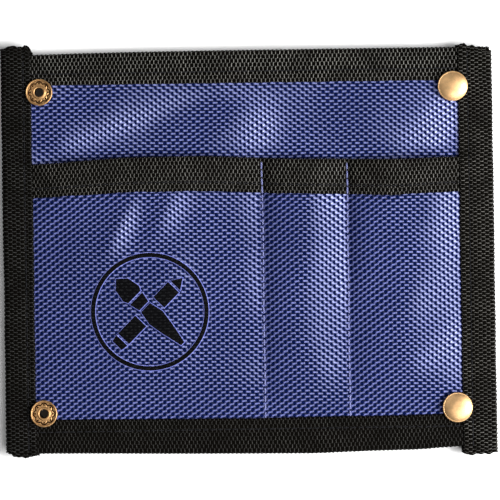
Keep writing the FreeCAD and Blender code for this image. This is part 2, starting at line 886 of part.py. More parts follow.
def build_right_half():
    snap = dim("snap_across")
    hole = dim("rivet_radius") + dim("rivet_fit")
    low, high = dim("right_tape_bottom"), dim("right_tape_top")
    edge, inner = CLOTH_SIDE, FOLD
    row_end = RIGHT_INNER - dim("lap_clearance")
    parts = [
        build_back_panel("back_panel_right", inner, edge, snap, hole),
        build_pocket_panel("pocket_panel_right", stations_right, snap, hole),
        build_cross_binding(
            "top_binding_right", inner, edge, dim("body_top"), TOP_INNER, TOP_LAP, PANEL_TOP
        ),
        build_cross_binding(
            "bottom_binding_right", inner, edge, dim("body_bottom"), BOTTOM_INNER, BOTTOM_LAP, POCKET_TOP
        ),
        build_mouth_binding("mouth_binding_right", stations_right, inner_lap_right),
        build_side_binding("right_binding", dim("half_width"), RIGHT_INNER, low, high),
        build_edge_thread(
            "edge_thread_right", dim("half_width") - dim("right_row_inset"), low, high, inner, row_end
        ),
        build_mouth_thread("mouth_thread_right", stations_right),
        build_divider_thread("left_divider_thread", dim("seam_one")),
        build_divider_thread("right_divider_thread", dim("seam_two")),
    ]
    for label, up, seat in (("upper", dim("snap_up"), UPPER_SEAT), ("lower", -dim("snap_up"), LOWER_SEAT)):
        parts.append(build_cap(f"{label}_cap", snap, up, seat))
        parts.append(build_rivet(f"{label}_rivet", snap, up, seat))
        parts.append(build_socket(f"{label}_socket", snap, up))
        parts.append(build_spring(f"{label}_ring_spring", snap, up))
    return parts


def check_document(parts):
    """Stops the build at anything that failed, before a file is written."""
    for item in doc.Objects:
        if {"Invalid", "Error"} & set(item.State):
            raise RuntimeError(f"{item.Label} failed: {item.State}")
    for part in parts:
        if part.Shape.isNull() or not part.Shape.isValid() or part.Shape.Volume <= 0:
            raise RuntimeError(f"{part.Label} has no sound shape")


all_parts = build_left_half() + build_right_half()
doc.recompute()
check_document(all_parts)
os.makedirs("parts", exist_ok=True)
for part in all_parts:
    part.Shape.exportStep(os.path.join("parts", f"{part.Label}.step"))
    box = part.Shape.BoundBox
    sides = (box.XMin, box.XMax, box.YMin, box.YMax, box.ZMin, box.ZMax)
    print(f"{part.Label:24s}", len(part.Shape.Solids), "solids,", *(f"{side:.2f}" for side in sides))
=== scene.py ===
import math

import bmesh
import bpy
import numpy as np
from mathutils import Matrix, Vector


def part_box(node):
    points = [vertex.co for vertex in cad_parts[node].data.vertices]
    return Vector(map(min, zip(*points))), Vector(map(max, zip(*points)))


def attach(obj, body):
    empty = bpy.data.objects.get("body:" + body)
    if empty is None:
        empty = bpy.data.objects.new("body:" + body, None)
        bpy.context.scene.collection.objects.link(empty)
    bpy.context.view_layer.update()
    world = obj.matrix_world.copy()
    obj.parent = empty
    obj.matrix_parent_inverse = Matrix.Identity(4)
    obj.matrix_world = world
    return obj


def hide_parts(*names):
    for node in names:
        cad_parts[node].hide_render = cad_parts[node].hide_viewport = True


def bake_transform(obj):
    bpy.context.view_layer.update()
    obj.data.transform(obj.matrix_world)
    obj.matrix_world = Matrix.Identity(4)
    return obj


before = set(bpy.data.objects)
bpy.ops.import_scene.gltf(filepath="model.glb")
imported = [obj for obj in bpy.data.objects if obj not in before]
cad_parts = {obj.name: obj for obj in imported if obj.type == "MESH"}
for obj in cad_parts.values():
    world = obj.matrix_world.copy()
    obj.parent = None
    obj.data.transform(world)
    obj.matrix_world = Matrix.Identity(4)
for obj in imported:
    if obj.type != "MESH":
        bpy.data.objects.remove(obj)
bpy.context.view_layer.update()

# A fold-over case for brushes and small tools: blue nylon cloth bound in black webbing, three
# pockets, a printed emblem and four snaps. Every length below is in millimetres in the CAD frame,
# until a mesh is made.

MM = 0.001


def box_mm(node):
    low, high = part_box(node)
    return np.array(low) / MM, np.array(high) / MM


def middle(node):
    low, high = box_mm(node)
    return (low + high) / 2


# ---- places, from the CAD model

PANEL_LOW, PANEL_HIGH = box_mm("back_panel_left")
LEFT_LOW, LEFT_HIGH = box_mm("left_binding")
RIGHT_LOW, RIGHT_HIGH = box_mm("right_binding")
TOP_LOW, TOP_HIGH = box_mm("top_binding_left")
BOTTOM_LOW, BOTTOM_HIGH = box_mm("bottom_binding_left")
MOUTH_LOW, MOUTH_HIGH = box_mm("mouth_binding_left")

PANEL_BACK = PANEL_LOW[2]
PANEL_FACE = PANEL_HIGH[2]
CLOTH = PANEL_FACE - PANEL_BACK
TAPE = TOP_HIGH[2] - PANEL_FACE
POCKET_FLAT = PANEL_FACE + CLOTH
BACK_LAY = TOP_LOW[2]
CLOTH_X = -PANEL_LOW[0]
CLOTH_TOP = PANEL_HIGH[1]
CLOTH_BOTTOM = PANEL_LOW[1]

INNER_LEFT = LEFT_HIGH[0]
INNER_RIGHT = RIGHT_LOW[0]
INNER_TOP = TOP_LOW[1]
INNER_BOTTOM = BOTTOM_HIGH[1]

# the rows of stitches: half a row's width, and how far the cross tapes' rows are from their inner edges
HALF_ROW = 0.25
ROW_FROM_EDGE = 4.9
ROW_LEFT = box_mm("edge_thread_left")[0][0] + HALF_ROW
ROW_RIGHT = box_mm("edge_thread_right")[1][0] - HALF_ROW
ROW_TOP = INNER_TOP + ROW_FROM_EDGE
ROW_BOTTOM = INNER_BOTTOM - ROW_FROM_EDGE
ROW_MOUTH = middle("mouth_thread_left")[1]
SEAM_ONE = middle("left_divider_thread")[0]
SEAM_TWO = middle("right_divider_thread")[0]

# ---- soft shapes


def soft_step(x, low, high):
    t = np.clip((x - low) / (high - low), 0.0, 1.0)
    return t * t * (3 - 2 * t)


def wobble(x, y, seed, size, waves=7):
    """Smooth unevenness, mostly between -1 and 1, with humps about `size` mm across."""
    draw = np.random.default_rng(seed)
    total = 0.0
    for _ in range(waves):
        heading = draw.uniform(0, 2 * math.pi)
        rate = math.pi * draw.uniform(0.6, 1.5) / size
        phase = draw.uniform(0, 2 * math.pi)
        total = total + np.sin((x * math.cos(heading) + y * math.sin(heading)) * rate + phase)
    return total / math.sqrt(waves)


def soft_line(points, x, blur=2.0):
    """The line through a few (place, value) points with its corners rounded over `blur` mm."""
    places, values = np.array(points, float).T
    taps = np.linspace(-1, 1, 9)
    weights = 1 + np.cos(taps * math.pi)
    total = sum(w * np.interp(x + t * blur, places, values) for t, w in zip(taps, weights))
    return total / weights.sum()


def soft_folds(x, y, folds):
    """Height of long soft folds: each has a middle, a heading, a length, a width and a height."""
    total = 0.0
    for middle_x, middle_y, heading, length, width, height in folds:
        cosine, sine = math.cos(math.radians(heading)), math.sin(math.radians(heading))
        along = (x - middle_x) * cosine + (y - middle_y) * sine
        across = (y - middle_y) * cosine - (x - middle_x) * sine
        total = total + height * np.exp(-((along / length) ** 2) - (across / width) ** 2)
    return total


# middle x, middle y, heading in degrees, length, width and height of each fold
STRIP_FOLDS = (
    (-53, 52.6, 20, 34, 5, 0.55),
    (-68, 63, 20, 20, 5, -0.35),
    (4, 52, 62, 17, 9, 0.45),
    (-24, 46, 40, 14, 5, -0.3),
    (38, 60, 20, 15, 8, -0.35),
    (76, 50, 40, 22, 8, 0.75),
)
POCKET_FOLDS = (
    (-54, 8, 62, 17, 4, 0.55),
    (-45, 5, 62, 15, 3, -0.3),
    (-35, 14, 55, 14, 6, 0.5),
    (-74, -8, 31, 14, 5, 0.35),
    (-76, 14, 50, 14, 6, -0.3),
    (-15, -18, 80, 28, 8, -0.4),
    (-66, -46, 30, 18, 6, -0.3),
    (48, -30, 70, 26, 6, -0.3),
    (74, -46, 40, 16, 6, 0.3),
)

# left seam, right seam, height, fullness of the cross-section, place of the crest across it
POCKETS = (
    (INNER_LEFT - 0.6, SEAM_ONE, 3.4, 2.5, 0.45),
    (SEAM_ONE, SEAM_TWO, 3.5, 2.1, 0.45),
    (SEAM_TWO, INNER_RIGHT + 0.8, 3.9, 2.2, 0.44),
)
# the flat half of a seam, and how far the back panel lies down behind the pockets
SEAM_FLAT = 0.45
BACK_SETTLED = 0.25


def pocket_lift(x, y):
    """How far the pocket cloth stands off its flat place."""
    lift = np.zeros(np.broadcast(x, y).shape)
    for left, right, height, fullness, crest in POCKETS:
        low, high = left + SEAM_FLAT, right - SEAM_FLAT
        across = np.clip((x - low) / (high - low), 0.0, 1.0)
        warped = across ** (math.log(0.5) / math.log(crest))
        arch = 1 - np.abs(2 * warped - 1) ** fullness
        lift = lift + np.where((x > low) & (x < high), height * arch, 0.0)
    opening = 0.68 + 0.32 * soft_step(y, -40.0, 24.0)
    closing = soft_step(y, INNER_BOTTOM + 0.4, INNER_BOTTOM + 24.0) ** 0.8
    rumple = 1 + 0.07 * wobble(x, y, 4, 26.0) + 0.05 * wobble(x, y, 9, 13.0)
    folds = soft_folds(x, y, POCKET_FOLDS) * np.minimum(lift / 1.5, 1.0)
    return lift * opening * closing * rumple + folds * closing


def pocket_top(x, y):
    return POCKET_FLAT + pocket_lift(x, y)


def panel_bow(x, y):
    """Slow rise and fall of the back panel between the tapes that hold it."""
    held_x = soft_step(x, INNER_LEFT, INNER_LEFT + 14) * soft_step(-x, -INNER_RIGHT, -INNER_RIGHT + 14)
    held_y = soft_step(y, INNER_BOTTOM, INNER_BOTTOM + 9) * soft_step(-y, -INNER_TOP, -INNER_TOP + 9)
    strip = soft_step(y, 36.0, 44.0)
    raised = 0.35 + 0.3 * wobble(x, y, 21, 34.0) + soft_folds(x, y, STRIP_FOLDS)
    return held_x * held_y * (strip * raised - BACK_SETTLED * (1 - strip))


def panel_top(x, y):
    return PANEL_FACE + panel_bow(x, y)


# ---- meshes


# points closer than this become one
MERGE_WITHIN = 0.002


def place_object(name, data):
    item = bpy.data.objects.new(name, data)
    bpy.context.scene.collection.objects.link(item)
    return item


def finish_mesh(name, points, faces, uv, tone=None, merge=False, sharp=None):
    """An object from points in mm, with outward normals, smooth shading and its own UVs."""
    mesh = bpy.data.meshes.new(name)
    mesh.from_pydata((np.asarray(points, float) * MM).tolist(), [], faces)
    corner = np.zeros(len(mesh.loops), np.int32)
    mesh.loops.foreach_get("vertex_index", corner)
    layer = mesh.uv_layers.new(name="cut")
    layer.data.foreach_set("uv", (np.asarray(uv, np.float32) * MM)[corner].ravel())
    if tone is not None:
        layer = mesh.attributes.new("tone", "FLOAT", "POINT")
        layer.data.foreach_set("value", np.asarray(tone, np.float32))
    work = bmesh.new()
    work.from_mesh(mesh)
    if merge:
        bmesh.ops.remove_doubles(work, verts=work.verts, dist=MERGE_WITHIN * MM)
    bmesh.ops.recalc_face_normals(work, faces=work.faces)
    work.to_mesh(mesh)
    work.free()
    mesh.polygons.foreach_set("use_smooth", np.ones(len(mesh.polygons), bool))
    if sharp is not None:
        mesh.set_sharp_from_angle(angle=math.radians(sharp))
    return place_object(name, mesh)


def grid_quads(rows, columns, start=0):
    first = np.arange(rows - 1)[:, None] * columns + np.arange(columns - 1)[None, :] + start
    return np.stack([first, first + 1, first + columns + 1, first + columns], -1).reshape(-1, 4)


def outside(points, quads, holes):
    """The quads whose middles aren't in any round hole (x, y, radius)."""
    centre = points[quads].mean(1)
    keep = np.ones(len(quads), bool)
    for x, y, radius in holes:
        keep &= np.hypot(centre[:, 0] - x, centre[:, 1] - y) > radius
    return quads[keep]


def shell(name, top, bottom, flat, holes=(), tone=None):
    """A thin closed sheet between two grids of the same size; `flat` gives its places laid out flat."""
    rows, columns = top.shape[:2]
    count = rows * columns
    index = np.arange(count).reshape(rows, columns)
    rim = np.concatenate([index[0, :-1], index[:-1, -1], index[-1, :0:-1], index[:0:-1, 0]])
    after = np.roll(rim, -1)
    sides = np.stack([rim, after, after + count, rim + count], -1)
    quads = np.concatenate([grid_quads(rows, columns), grid_quads(rows, columns, count)[:, ::-1], sides])
    points = np.concatenate([top.reshape(-1, 3), bottom.reshape(-1, 3)])
    uv = np.concatenate([flat.reshape(-1, 2)] * 2)
    if tone is not None:
        tone = np.concatenate([tone.ravel()] * 2)
    return finish_mesh(name, points, outside(points, quads, holes).tolist(), uv, tone)


def dress(piece, material):
    piece.data.materials.append(material)
    return piece


def bend_at_fold(*pieces):
    for piece in pieces:
        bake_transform(piece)


# ---- shaders


def rgb(red, green, blue):
    return (red, green, blue, 1.0)


class Nodes:
    """Something that can add nodes to a material's tree."""

    def node(self, kind, inputs, output=0, **settings):
        made = self.tree.nodes.new(kind)
        for setting, value in settings.items():
            setattr(made, setting, value)
        for socket, value in inputs.items():
            self.plug(value, made.inputs[socket])
        return Value(self.tree, made.outputs[output])

    def plug(self, value, end):
        if isinstance(value, Value):
            self.tree.links.new(value.socket, end)
        else:
            end.default_value = value


class Value(Nodes):
    """What one node of a material gives: a number, a colour or a place."""

    def __init__(self, tree, socket):
        self.tree, self.socket = tree, socket

    def calc(self, operation, *others):
        return self.node("ShaderNodeMath", dict(enumerate((self, *others))), operation=operation)

    def __add__(self, other):
        return self.calc("ADD", other)

    def __sub__(self, other):
        return self.calc("SUBTRACT", other)

    def __mul__(self, other):
        return self.calc("MULTIPLY", other)

    def vector(self, operation, other):
        return self.node("ShaderNodeVectorMath", {0: self, 1: other}, operation=operation)

    def split(self):
        return [self.node("ShaderNodeSeparateXYZ", {0: self}, axis) for axis in (0, 1)]

    def ramp(self, low, high, to_low=0.0, to_high=1.0):
        return self.node("ShaderNodeMapRange", {0: self, 1: low, 2: high, 3: to_low, 4: to_high},
                         interpolation_type="SMOOTHSTEP")

    def noise(self, scale, detail=2.0, roughness=0.5, output=0):
        return self.node("ShaderNodeTexNoise", {"Vector": self, "Scale": scale, "Detail": detail,
                                                "Roughness": roughness}, output)

    def mix(self, first, second):
        """The first colour where this is 0 and the second where it is 1."""
        return self.node("ShaderNodeMix", {0: self, 6: first, 7: second}, 2, data_type="RGBA")


class Shader(Nodes):
    """A principled material, whose sockets take plain numbers or values."""

    def __init__(self, name, **sockets):
        self.material = bpy.data.materials.new(name)
        self.material.use_nodes = True
        self.tree = self.material.node_tree
        self.feed(**sockets)

    def feed(self, **sockets):
        for socket, value in sockets.items():
            self.plug(value, self.tree.nodes["Principled BSDF"].inputs[socket.replace("_", " ")])

    def flat(self):
        """The place on the flat cloth, tape or thread, in metres."""
        return self.node("ShaderNodeUVMap", {}, uv_map="cut")

    def tone(self):
        """The number kept at each point of the mesh."""
        return self.node("ShaderNodeAttribute", {}, 2, attribute_name="tone")

    def emboss(self, height, distance):
        self.feed(Normal=self.node("ShaderNodeBump", {"Distance": distance * MM, "Height": height}))


# one crossing of the plain weave, and one pillow of the webbing along and across the tape
CELL_X = 1.75
CELL_Y = 1.27
RIB = 1.75
RIB_ACROSS = 1.62
# how far the yarns drift off their straight lines, in metres, and how fast a thread's plies turn
YARN_DRIFT = (0.0014, 0.0010, 0.0)
PLY_RATE = 9000.0
WEBBING_DARK = rgb(0.0028, 0.0025, 0.0020)


def weave_waves(flat, slant=0.0):
    """Waves over the cells of the plain weave: the place, across, up, their corners, and which end
    and which edge of a float a place is at."""
    drift = flat.noise(75.0, 1.5, output=1).vector("SUBTRACT", (0.5, 0.5, 0.5))
    place = flat.vector("ADD", drift.vector("MULTIPLY", YARN_DRIFT))
    x, y = place.split()
    turn, rise = x * (math.pi / (CELL_X * MM)), y * (math.pi / (CELL_Y * MM))
    level, upright, row = turn.calc("COSINE"), rise.calc("COSINE"), rise.calc("SINE").calc("SIGN")
    end = level * row
    up = (rise - end * slant).calc("SINE")
    return place, turn.calc("SINE"), up, level * upright, end, upright * row


def cloth_material():
    """Plain weave of shiny filament yarn. `tone` carries painted light: where it is high the floats are
    painted brighter, slant down and join at their ends in painted glints, with painted highlights at their
    heads."""
    shader = Shader("nylon_cloth")
    tone = shader.tone()
    # the floats slant with the painted light in tone
    place, across, up, corner, end, edge = weave_waves(shader.flat(), tone.ramp(0.1, 0.6, -0.34, 0.14))
    parity, body = across * up.calc("SIGN"), up.calc("ABSOLUTE")
    weft = parity.ramp(-0.5, 0.35) * body.ramp(0.42, 0.88)
    warp = parity.ramp(0.05, -0.5) * body.ramp(0.1, 0.7)
    # painted glints where floats join, painted highlights at their heads, and lighter corners where the
    # painted light is far from its middle
    joined_glint = (corner * -1.0).ramp(0.38, 0.85) * tone.ramp(0.42, 0.95, 0.05, 0.7)
    head_highlights = end.ramp(0.5, 0.93) * edge.ramp(0.75, -0.1) * tone.ramp(0.45, 0.95)
    crossed = corner.ramp(0.45, 0.95) * (tone - 0.42).calc("ABSOLUTE").ramp(0.06, 0.4, 0.06, 0.34)

    filaments = place.vector("MULTIPLY", (900.0, 5200.0, 1.0)).noise(1.0, 3.0, 0.6)
    fibres = place.vector("MULTIPLY", (5200.0, 900.0, 1.0)).noise(1.0, 2.0, 0.6)
    shine = filaments.ramp(0.2, 0.75, 0.6, 1.0) * place.noise(26.0).ramp(0.3, 0.7, 0.8, 1.0)

    cloth = warp.mix(rgb(0.001, 0.003, 0.019), rgb(0.001, 0.0045, 0.038))
    cloth = (warp * fibres.ramp(0.5, 0.85)).mix(cloth, rgb(0.012, 0.02, 0.13))
    # floats painted brighter where the painted light in tone is high
    lit_float_blue = tone.ramp(0.05, 1.0).mix(rgb(0.18, 0.21, 0.56), rgb(0.33, 0.37, 0.80))
    cloth = (weft * (shine * end.ramp(-0.9, 0.9, 0.62, 1.0))).mix(cloth, lit_float_blue)
    cloth = (crossed * shine).mix(cloth, rgb(0.22, 0.25, 0.66))
    cloth = (joined_glint * shine).mix(cloth, rgb(0.40, 0.45, 0.85))
    cloth = (head_highlights * shine).mix(cloth, rgb(0.55, 0.60, 0.98))
    light = weft.calc("MAXIMUM", joined_glint.calc("MAXIMUM", head_highlights))
    shader.feed(Base_Color=cloth, Roughness=light.ramp(0, 1, 0.6, 0.4),
                Specular_IOR_Level=light.ramp(0, 1, 0, 0.4))
    shader.emboss(light + warp * 0.7 + filaments * 0.35, 0.16)
    return shader.material


def webbing_material(name, dash_and_light, glint):
    """Ribbed black webbing, with worn light floats along the joints between its pillows; the floats' colour
    is given per tape with painted light in it.
    """
    shader = Shader(name)
    flat = shader.flat()
    x, y = flat.split()
    column = y * (math.pi / (RIB_ACROSS * MM))
    row = column.calc("SINE")
    along = x * (math.pi / (RIB * MM)) + row.calc("SIGN") * (-math.pi / 4)
    along = along + math.pi / 4 + flat.noise(420.0, 3.0) * 1.7
    pillow, row = along.calc("SINE").calc("ABSOLUTE"), row.calc("ABSOLUTE")
    step = column.calc("COSINE") * (x * (2 * math.pi / (RIB * MM))).calc("SINE")
    upright = pillow.ramp(0.34, 0.02) * row.ramp(0.0, 0.4)
    floats = upright.calc("MAXIMUM", row.ramp(0.26, 0.02) * step.ramp(0.1, 0.7, 0.04, 0.6))
    fray = flat.vector("MULTIPLY", (6000.0, 1500.0, 1.0)).noise(1.0, 3.0, 0.65)
    worn = fray.ramp(0.32, 0.68, 0.2, 1.0) * flat.noise(90.0, 3.0).ramp(0.3, 0.7, 0.45, 1.0)
    shader.feed(Base_Color=(floats * worn).mix(WEBBING_DARK, dash_and_light), Roughness=floats.ramp(0, 1, 0.75, 0.42),
                Specular_IOR_Level=floats.ramp(0, 1, 0, glint))
    shader.emboss(pillow * row + fray * 0.4, 0.12)
    return shader.material


def thread_material(name, dark, light):
    """Twisted sewing thread: plies that run slantwise round it."""
    shader = Shader(name, Specular_IOR_Level=0.12, Sheen_Weight=0.03, Sheen_Roughness=0.4)
    flat = shader.flat()
    x, y = flat.split()
    plies = (x * PLY_RATE + y * PLY_RATE).calc("SINE").ramp(-0.8, 0.8)
    fuzz = flat.noise(4000.0)
    shader.feed(Base_Color=(plies * fuzz.ramp(0.25, 0.7, 0.5, 1.0)).mix(dark, light),
                Roughness=fuzz.ramp(0.2, 0.8, 0.5, 0.7))
    shader.emboss(plies, 0.06)
    return shader.material


def ink_material(name, low, high, roughness):
    """Print that has sunk a little into the weave under it."""
    shader = Shader(name, Specular_IOR_Level=0.03)
    place, across, up = weave_waves(shader.flat())[:3]
    weft = (across * up.calc("SIGN")).ramp(-0.8, 0.1) * up.calc("ABSOLUTE").ramp(0.5, 0.88)
    mottle = place.noise(1500.0)
    shader.feed(Base_Color=(weft * mottle.ramp(0.3, 0.75)).mix(low, high),
                Roughness=mottle.ramp(0.2, 0.8, roughness - 0.08, roughness + 0.12))
    shader.emboss(weft, 0.08)
    return shader.material


def brass_material(name, base, deep, roughness, grain, depth):
    """Metal plate with a fine speckle, darker and rougher in its hollows: patina in the post's groove and
    pits, painted shade inside its bore.
    """
    shader = Shader(name, Metallic=1.0)
    place = shader.node("ShaderNodeTexCoord", {}, 3)
    speckle, patina_and_shade = place.noise(2600.0, 4.0, 0.7), shader.tone()
    plate = place.noise(420.0, 3.0).ramp(0.35, 0.7).mix(rgb(*base), rgb(*(0.82 * c for c in base)))
    plate = speckle.ramp(0.52, 0.75, 0.0, grain).mix(plate, rgb(*(0.45 * c for c in base)))
    shader.feed(Base_Color=patina_and_shade.ramp(0.1, 0.9).mix(plate, rgb(*deep)),
                Roughness=speckle.ramp(0.3, 0.7, roughness - 0.06, roughness + 0.08) + patina_and_shade * 0.25)
    shader.emboss(speckle, depth)
    return shader.material


CLOTH_LOOK = cloth_material()
# the webbing looks differ in how light their floats are: painted light on the top, mouth and right tapes,
# painted shade on the bottom and left ones
TOP_WEBBING = webbing_material("webbing_top", rgb(0.40, 0.39, 0.36), 0.3)
MOUTH_WEBBING = webbing_material("webbing_mouth", rgb(0.30, 0.29, 0.265), 0.25)
BOTTOM_WEBBING = webbing_material("webbing_bottom", rgb(0.085, 0.083, 0.077), 0.1)
LEFT_WEBBING = webbing_material("webbing_left", rgb(0.10, 0.10, 0.097), 0.1)
RIGHT_WEBBING = webbing_material("webbing_right", rgb(0.24, 0.23, 0.21), 0.25)
BLACK_THREAD = thread_material("black_thread", rgb(0.003, 0.003, 0.004), rgb(0.016, 0.016, 0.019))
BLUE_THREAD = thread_material("blue_thread", rgb(0.02, 0.03, 0.16), rgb(0.40, 0.42, 0.70))
INK_LOOK = ink_material("print_ink", rgb(0.0015, 0.0015, 0.002), rgb(0.012, 0.0125, 0.014), 0.55)
HALO_LOOK = ink_material("print_edge", rgb(0.12, 0.14, 0.42), rgb(0.30, 0.33, 0.72), 0.5)
ANTIQUE = brass_material("antique_brass", (0.58, 0.34, 0.15), (0.006, 0.002, 0.001), 0.44, 0.6, 0.02)
SATIN = brass_material("satin_brass", (0.86, 0.54, 0.26), (0.35, 0.19, 0.07), 0.47, 0.55, 0.016)
PLAIN = brass_material("plain_brass", (0.55, 0.38, 0.17), (0.20, 0.12, 0.05), 0.38, 0.35, 0.015)
WIRE = brass_material("spring_wire", (0.55, 0.55, 0.55), (0.2, 0.2, 0.2), 0.3, 0.2, 0.008)


# ---- cloth

# how far the weft's domes stand up, and the warp's as a share of that
RELIEF = 0.16
WARP_SHARE = 0.6
# how far apart the slope of the cloth is taken, to either side
SLOPE_REACH = 1.5
# how far inside the turned tapes the cloth's top and bottom edges stay
HEM = 1.6
# the hole round each post, and how far under the mouth tape's top the pocket cloth ends
HOLE_RADIUS = 2.35
POCKET_EDGE_IN = 2.2


def weave_relief(u, v):
    """Each crossing of the weave stands up as a small dome, the weft's the higher ones."""
    dome = np.sin(math.pi * u / CELL_X) * np.sin(math.pi * v / CELL_Y)
    return RELIEF * np.abs(dome) * np.where(dome > 0, 1.0, WARP_SHARE)


def half_cells(low, high, cell):
    """Places from low to high that fall on the middles and edges of the weave's cells."""
    half = cell / 2
    return np.arange(math.ceil(low / half), math.floor(high / half) + 1) * half


POST_HOLES = [(*middle(node)[:2], HOLE_RADIUS) for node in ("upper_post", "lower_post")]
CLOTH_AT_X = half_cells(-CLOTH_X, CLOTH_X, CELL_X)
POCKET_AT_Y = half_cells(CLOTH_BOTTOM, MOUTH_HIGH[1] - POCKET_EDGE_IN, CELL_Y)
PANEL_AT_Y = half_cells(CLOTH_BOTTOM, CLOTH_TOP, CELL_Y)


def open_weave(x, y, top):
    """The relief of the weave, pressed flat under the tapes; `top` is the upper tape's lower edge."""
    clear = soft_step(x, INNER_LEFT - 1.2, INNER_LEFT - 0.4)
    clear = clear * soft_step(-x, -INNER_RIGHT - 1.2, -INNER_RIGHT - 0.4)
    clear = clear * soft_step(y, INNER_BOTTOM - 1.6, INNER_BOTTOM - 0.8)
    return weave_relief(x, y) * (clear * soft_step(-y, -top - 2.6, -top - 1.8))


def painted_light_level(surface, x, y, folds):
    """Painted light on the cloth: 0 where it is painted in shade, 1 where it is painted lit and shows more of
    each float: on the slopes that face right and up, towards the key light, and on the crests of the soft
    folds."""
    reach = SLOPE_REACH
    right = (surface(x - reach, y) - surface(x + reach, y)) / (2 * reach)
    upward = (surface(x, y - reach) - surface(x, y + reach)) / (2 * reach)
    return 0.36 + 0.55 * np.tanh(4.0 * right + 1.6 * upward) + 0.55 * soft_folds(x, y, folds)


def tucked_in(x, y):
    """The cloth's places up and down, with its top and bottom edges drawn in wherever a tape's turn
    comes in past them."""
    low = np.maximum(bottom_edge(x) + HEM - CLOTH_BOTTOM, 0.0)
    high = np.minimum(top_edge(x) - HEM - CLOTH_TOP, 0.0)
    near_low = np.clip((INNER_BOTTOM - 2.0 - y) / (INNER_BOTTOM - 2.0 - CLOTH_BOTTOM), 0.0, 1.0)
    near_high = np.clip((y - INNER_TOP - 2.0) / (CLOTH_TOP - INNER_TOP - 2.0), 0.0, 1.0)
    return y + near_low * low + near_high * high


def build_panel(name, x, y, front, back, tone):
    tucked = tucked_in(x, y)
    top, bottom = np.stack([x, tucked, front], -1), np.stack([x, tucked, back], -1)
    return dress(shell(name, top, bottom, np.stack([x, y], -1), POST_HOLES, tone), CLOTH_LOOK)


def pocket_surface(x, y):
    """The front of the pocket cloth with its weave."""
    return pocket_top(x, y) + open_weave(x, y, MOUTH_LOW[1]) - RELIEF / 2


def build_pocket_panel():
    x, y = np.meshgrid(CLOTH_AT_X, POCKET_AT_Y)
    # painted shade towards the bottom tape, where the pocket slopes down away from the light
    painted_shade_low = 0.28 * soft_step(-y, -INNER_BOTTOM - 11.0, -INNER_BOTTOM)
    # tone is painted light: lighter on slopes facing the light and on fold crests, darker near the bottom,
    # with small random variation
    tone = painted_light_level(pocket_top, x, y, POCKET_FOLDS) - painted_shade_low + 0.06 * wobble(x, y, 61, 18.0)
    piece = build_panel("pocket_panel", x, y, pocket_surface(x, y), pocket_top(x, y) - CLOTH + 0.02, tone)
    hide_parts("pocket_panel_left", "pocket_panel_right")
    return piece


def build_back_panel():
    x, y = np.meshgrid(CLOTH_AT_X, PANEL_AT_Y)
    level, relief = panel_top(x, y), open_weave(x, y, INNER_TOP) - RELIEF / 2
    # tone is painted light, as on the pocket cloth, and the back panel is painted lighter all over
    tone = painted_light_level(panel_top, x, y, STRIP_FOLDS) + 0.15 + 0.06 * wobble(x, y, 63, 18.0)
    piece = build_panel("back_panel", x, y, level + relief, level - CLOTH - relief, tone)
    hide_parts("back_panel_left", "back_panel_right")
    return piece


# ---- webbing

COLUMN = RIB_ACROSS / 4
STEP = RIB / 4
FOLD_COLUMNS = 8
# the turn's radius is half the thickness found PROBE_IN inside the edge, and at most TURN_RADIUS
PROBE_IN = 1.3
TURN_RADIUS = 1.7
# the tape's lining lies this share of its thickness under the skin, and its two edges dip by EDGE_DIP
LINING = 0.94
EDGE_DIP = 0.4
# how far the pillows stand up on the flat and on the turn, and how much of one is above the skin
PILLOW = 0.24
PILLOW_ON_TURN = 0.16
PILLOW_LEVEL = 0.6


def rib_relief(s, t):
    """Short pillows of yarn in rows, each row half a pillow further on than the one beside it."""
    row = np.sin(math.pi * t / RIB_ACROSS)
    pillow = np.where(row > 0, np.abs(np.sin(math.pi * s / RIB)), np.abs(np.cos(math.pi * s / RIB)))
    return pillow ** 0.7 * (0.25 + 0.75 * np.abs(row) ** 0.6)


def tape_columns(along, inner_front, inner_back, outer, front_top, back_bottom):
    """The tape's cross-section, from its inner edge in front round to its inner edge behind. Each
    column is (place across, height, share of the width, place on the flat tape)."""
    side = np.sign(np.mean(outer) - np.mean(inner_front))
    probe = outer - side * PROBE_IN
    radius = np.minimum((front_top(along, probe) - back_bottom(along, probe)) / 2, TURN_RADIUS)
    turn = outer - side * radius
    front_count = int(round(abs(np.mean(turn - inner_front)) / COLUMN))
    back_count = int(round(abs(np.mean(turn - inner_back)) / COLUMN))
    back_count += (front_count + back_count + FOLD_COLUMNS) % 2
    upper, lower = front_top(along, turn), back_bottom(along, turn)
    columns = []
    for k in range(-front_count, FOLD_COLUMNS + back_count + 1):
        if k <= 0:
            share = 1 + k / front_count
            at = inner_front + (turn - inner_front) * share
            level = front_top(along, at)
        elif k < FOLD_COLUMNS:
            share, angle = 1.0, math.pi * (0.5 - k / FOLD_COLUMNS)
            at = turn + side * radius * math.cos(angle)
            level = (upper + lower) / 2 + (upper - lower) / 2 * math.sin(angle)
        else:
            share = 1 - (k - FOLD_COLUMNS) / back_count
            at = inner_back + (turn - inner_back) * share
            level = back_bottom(along, at)
        columns.append((at, level, share, COLUMN * k))
    return columns, front_count


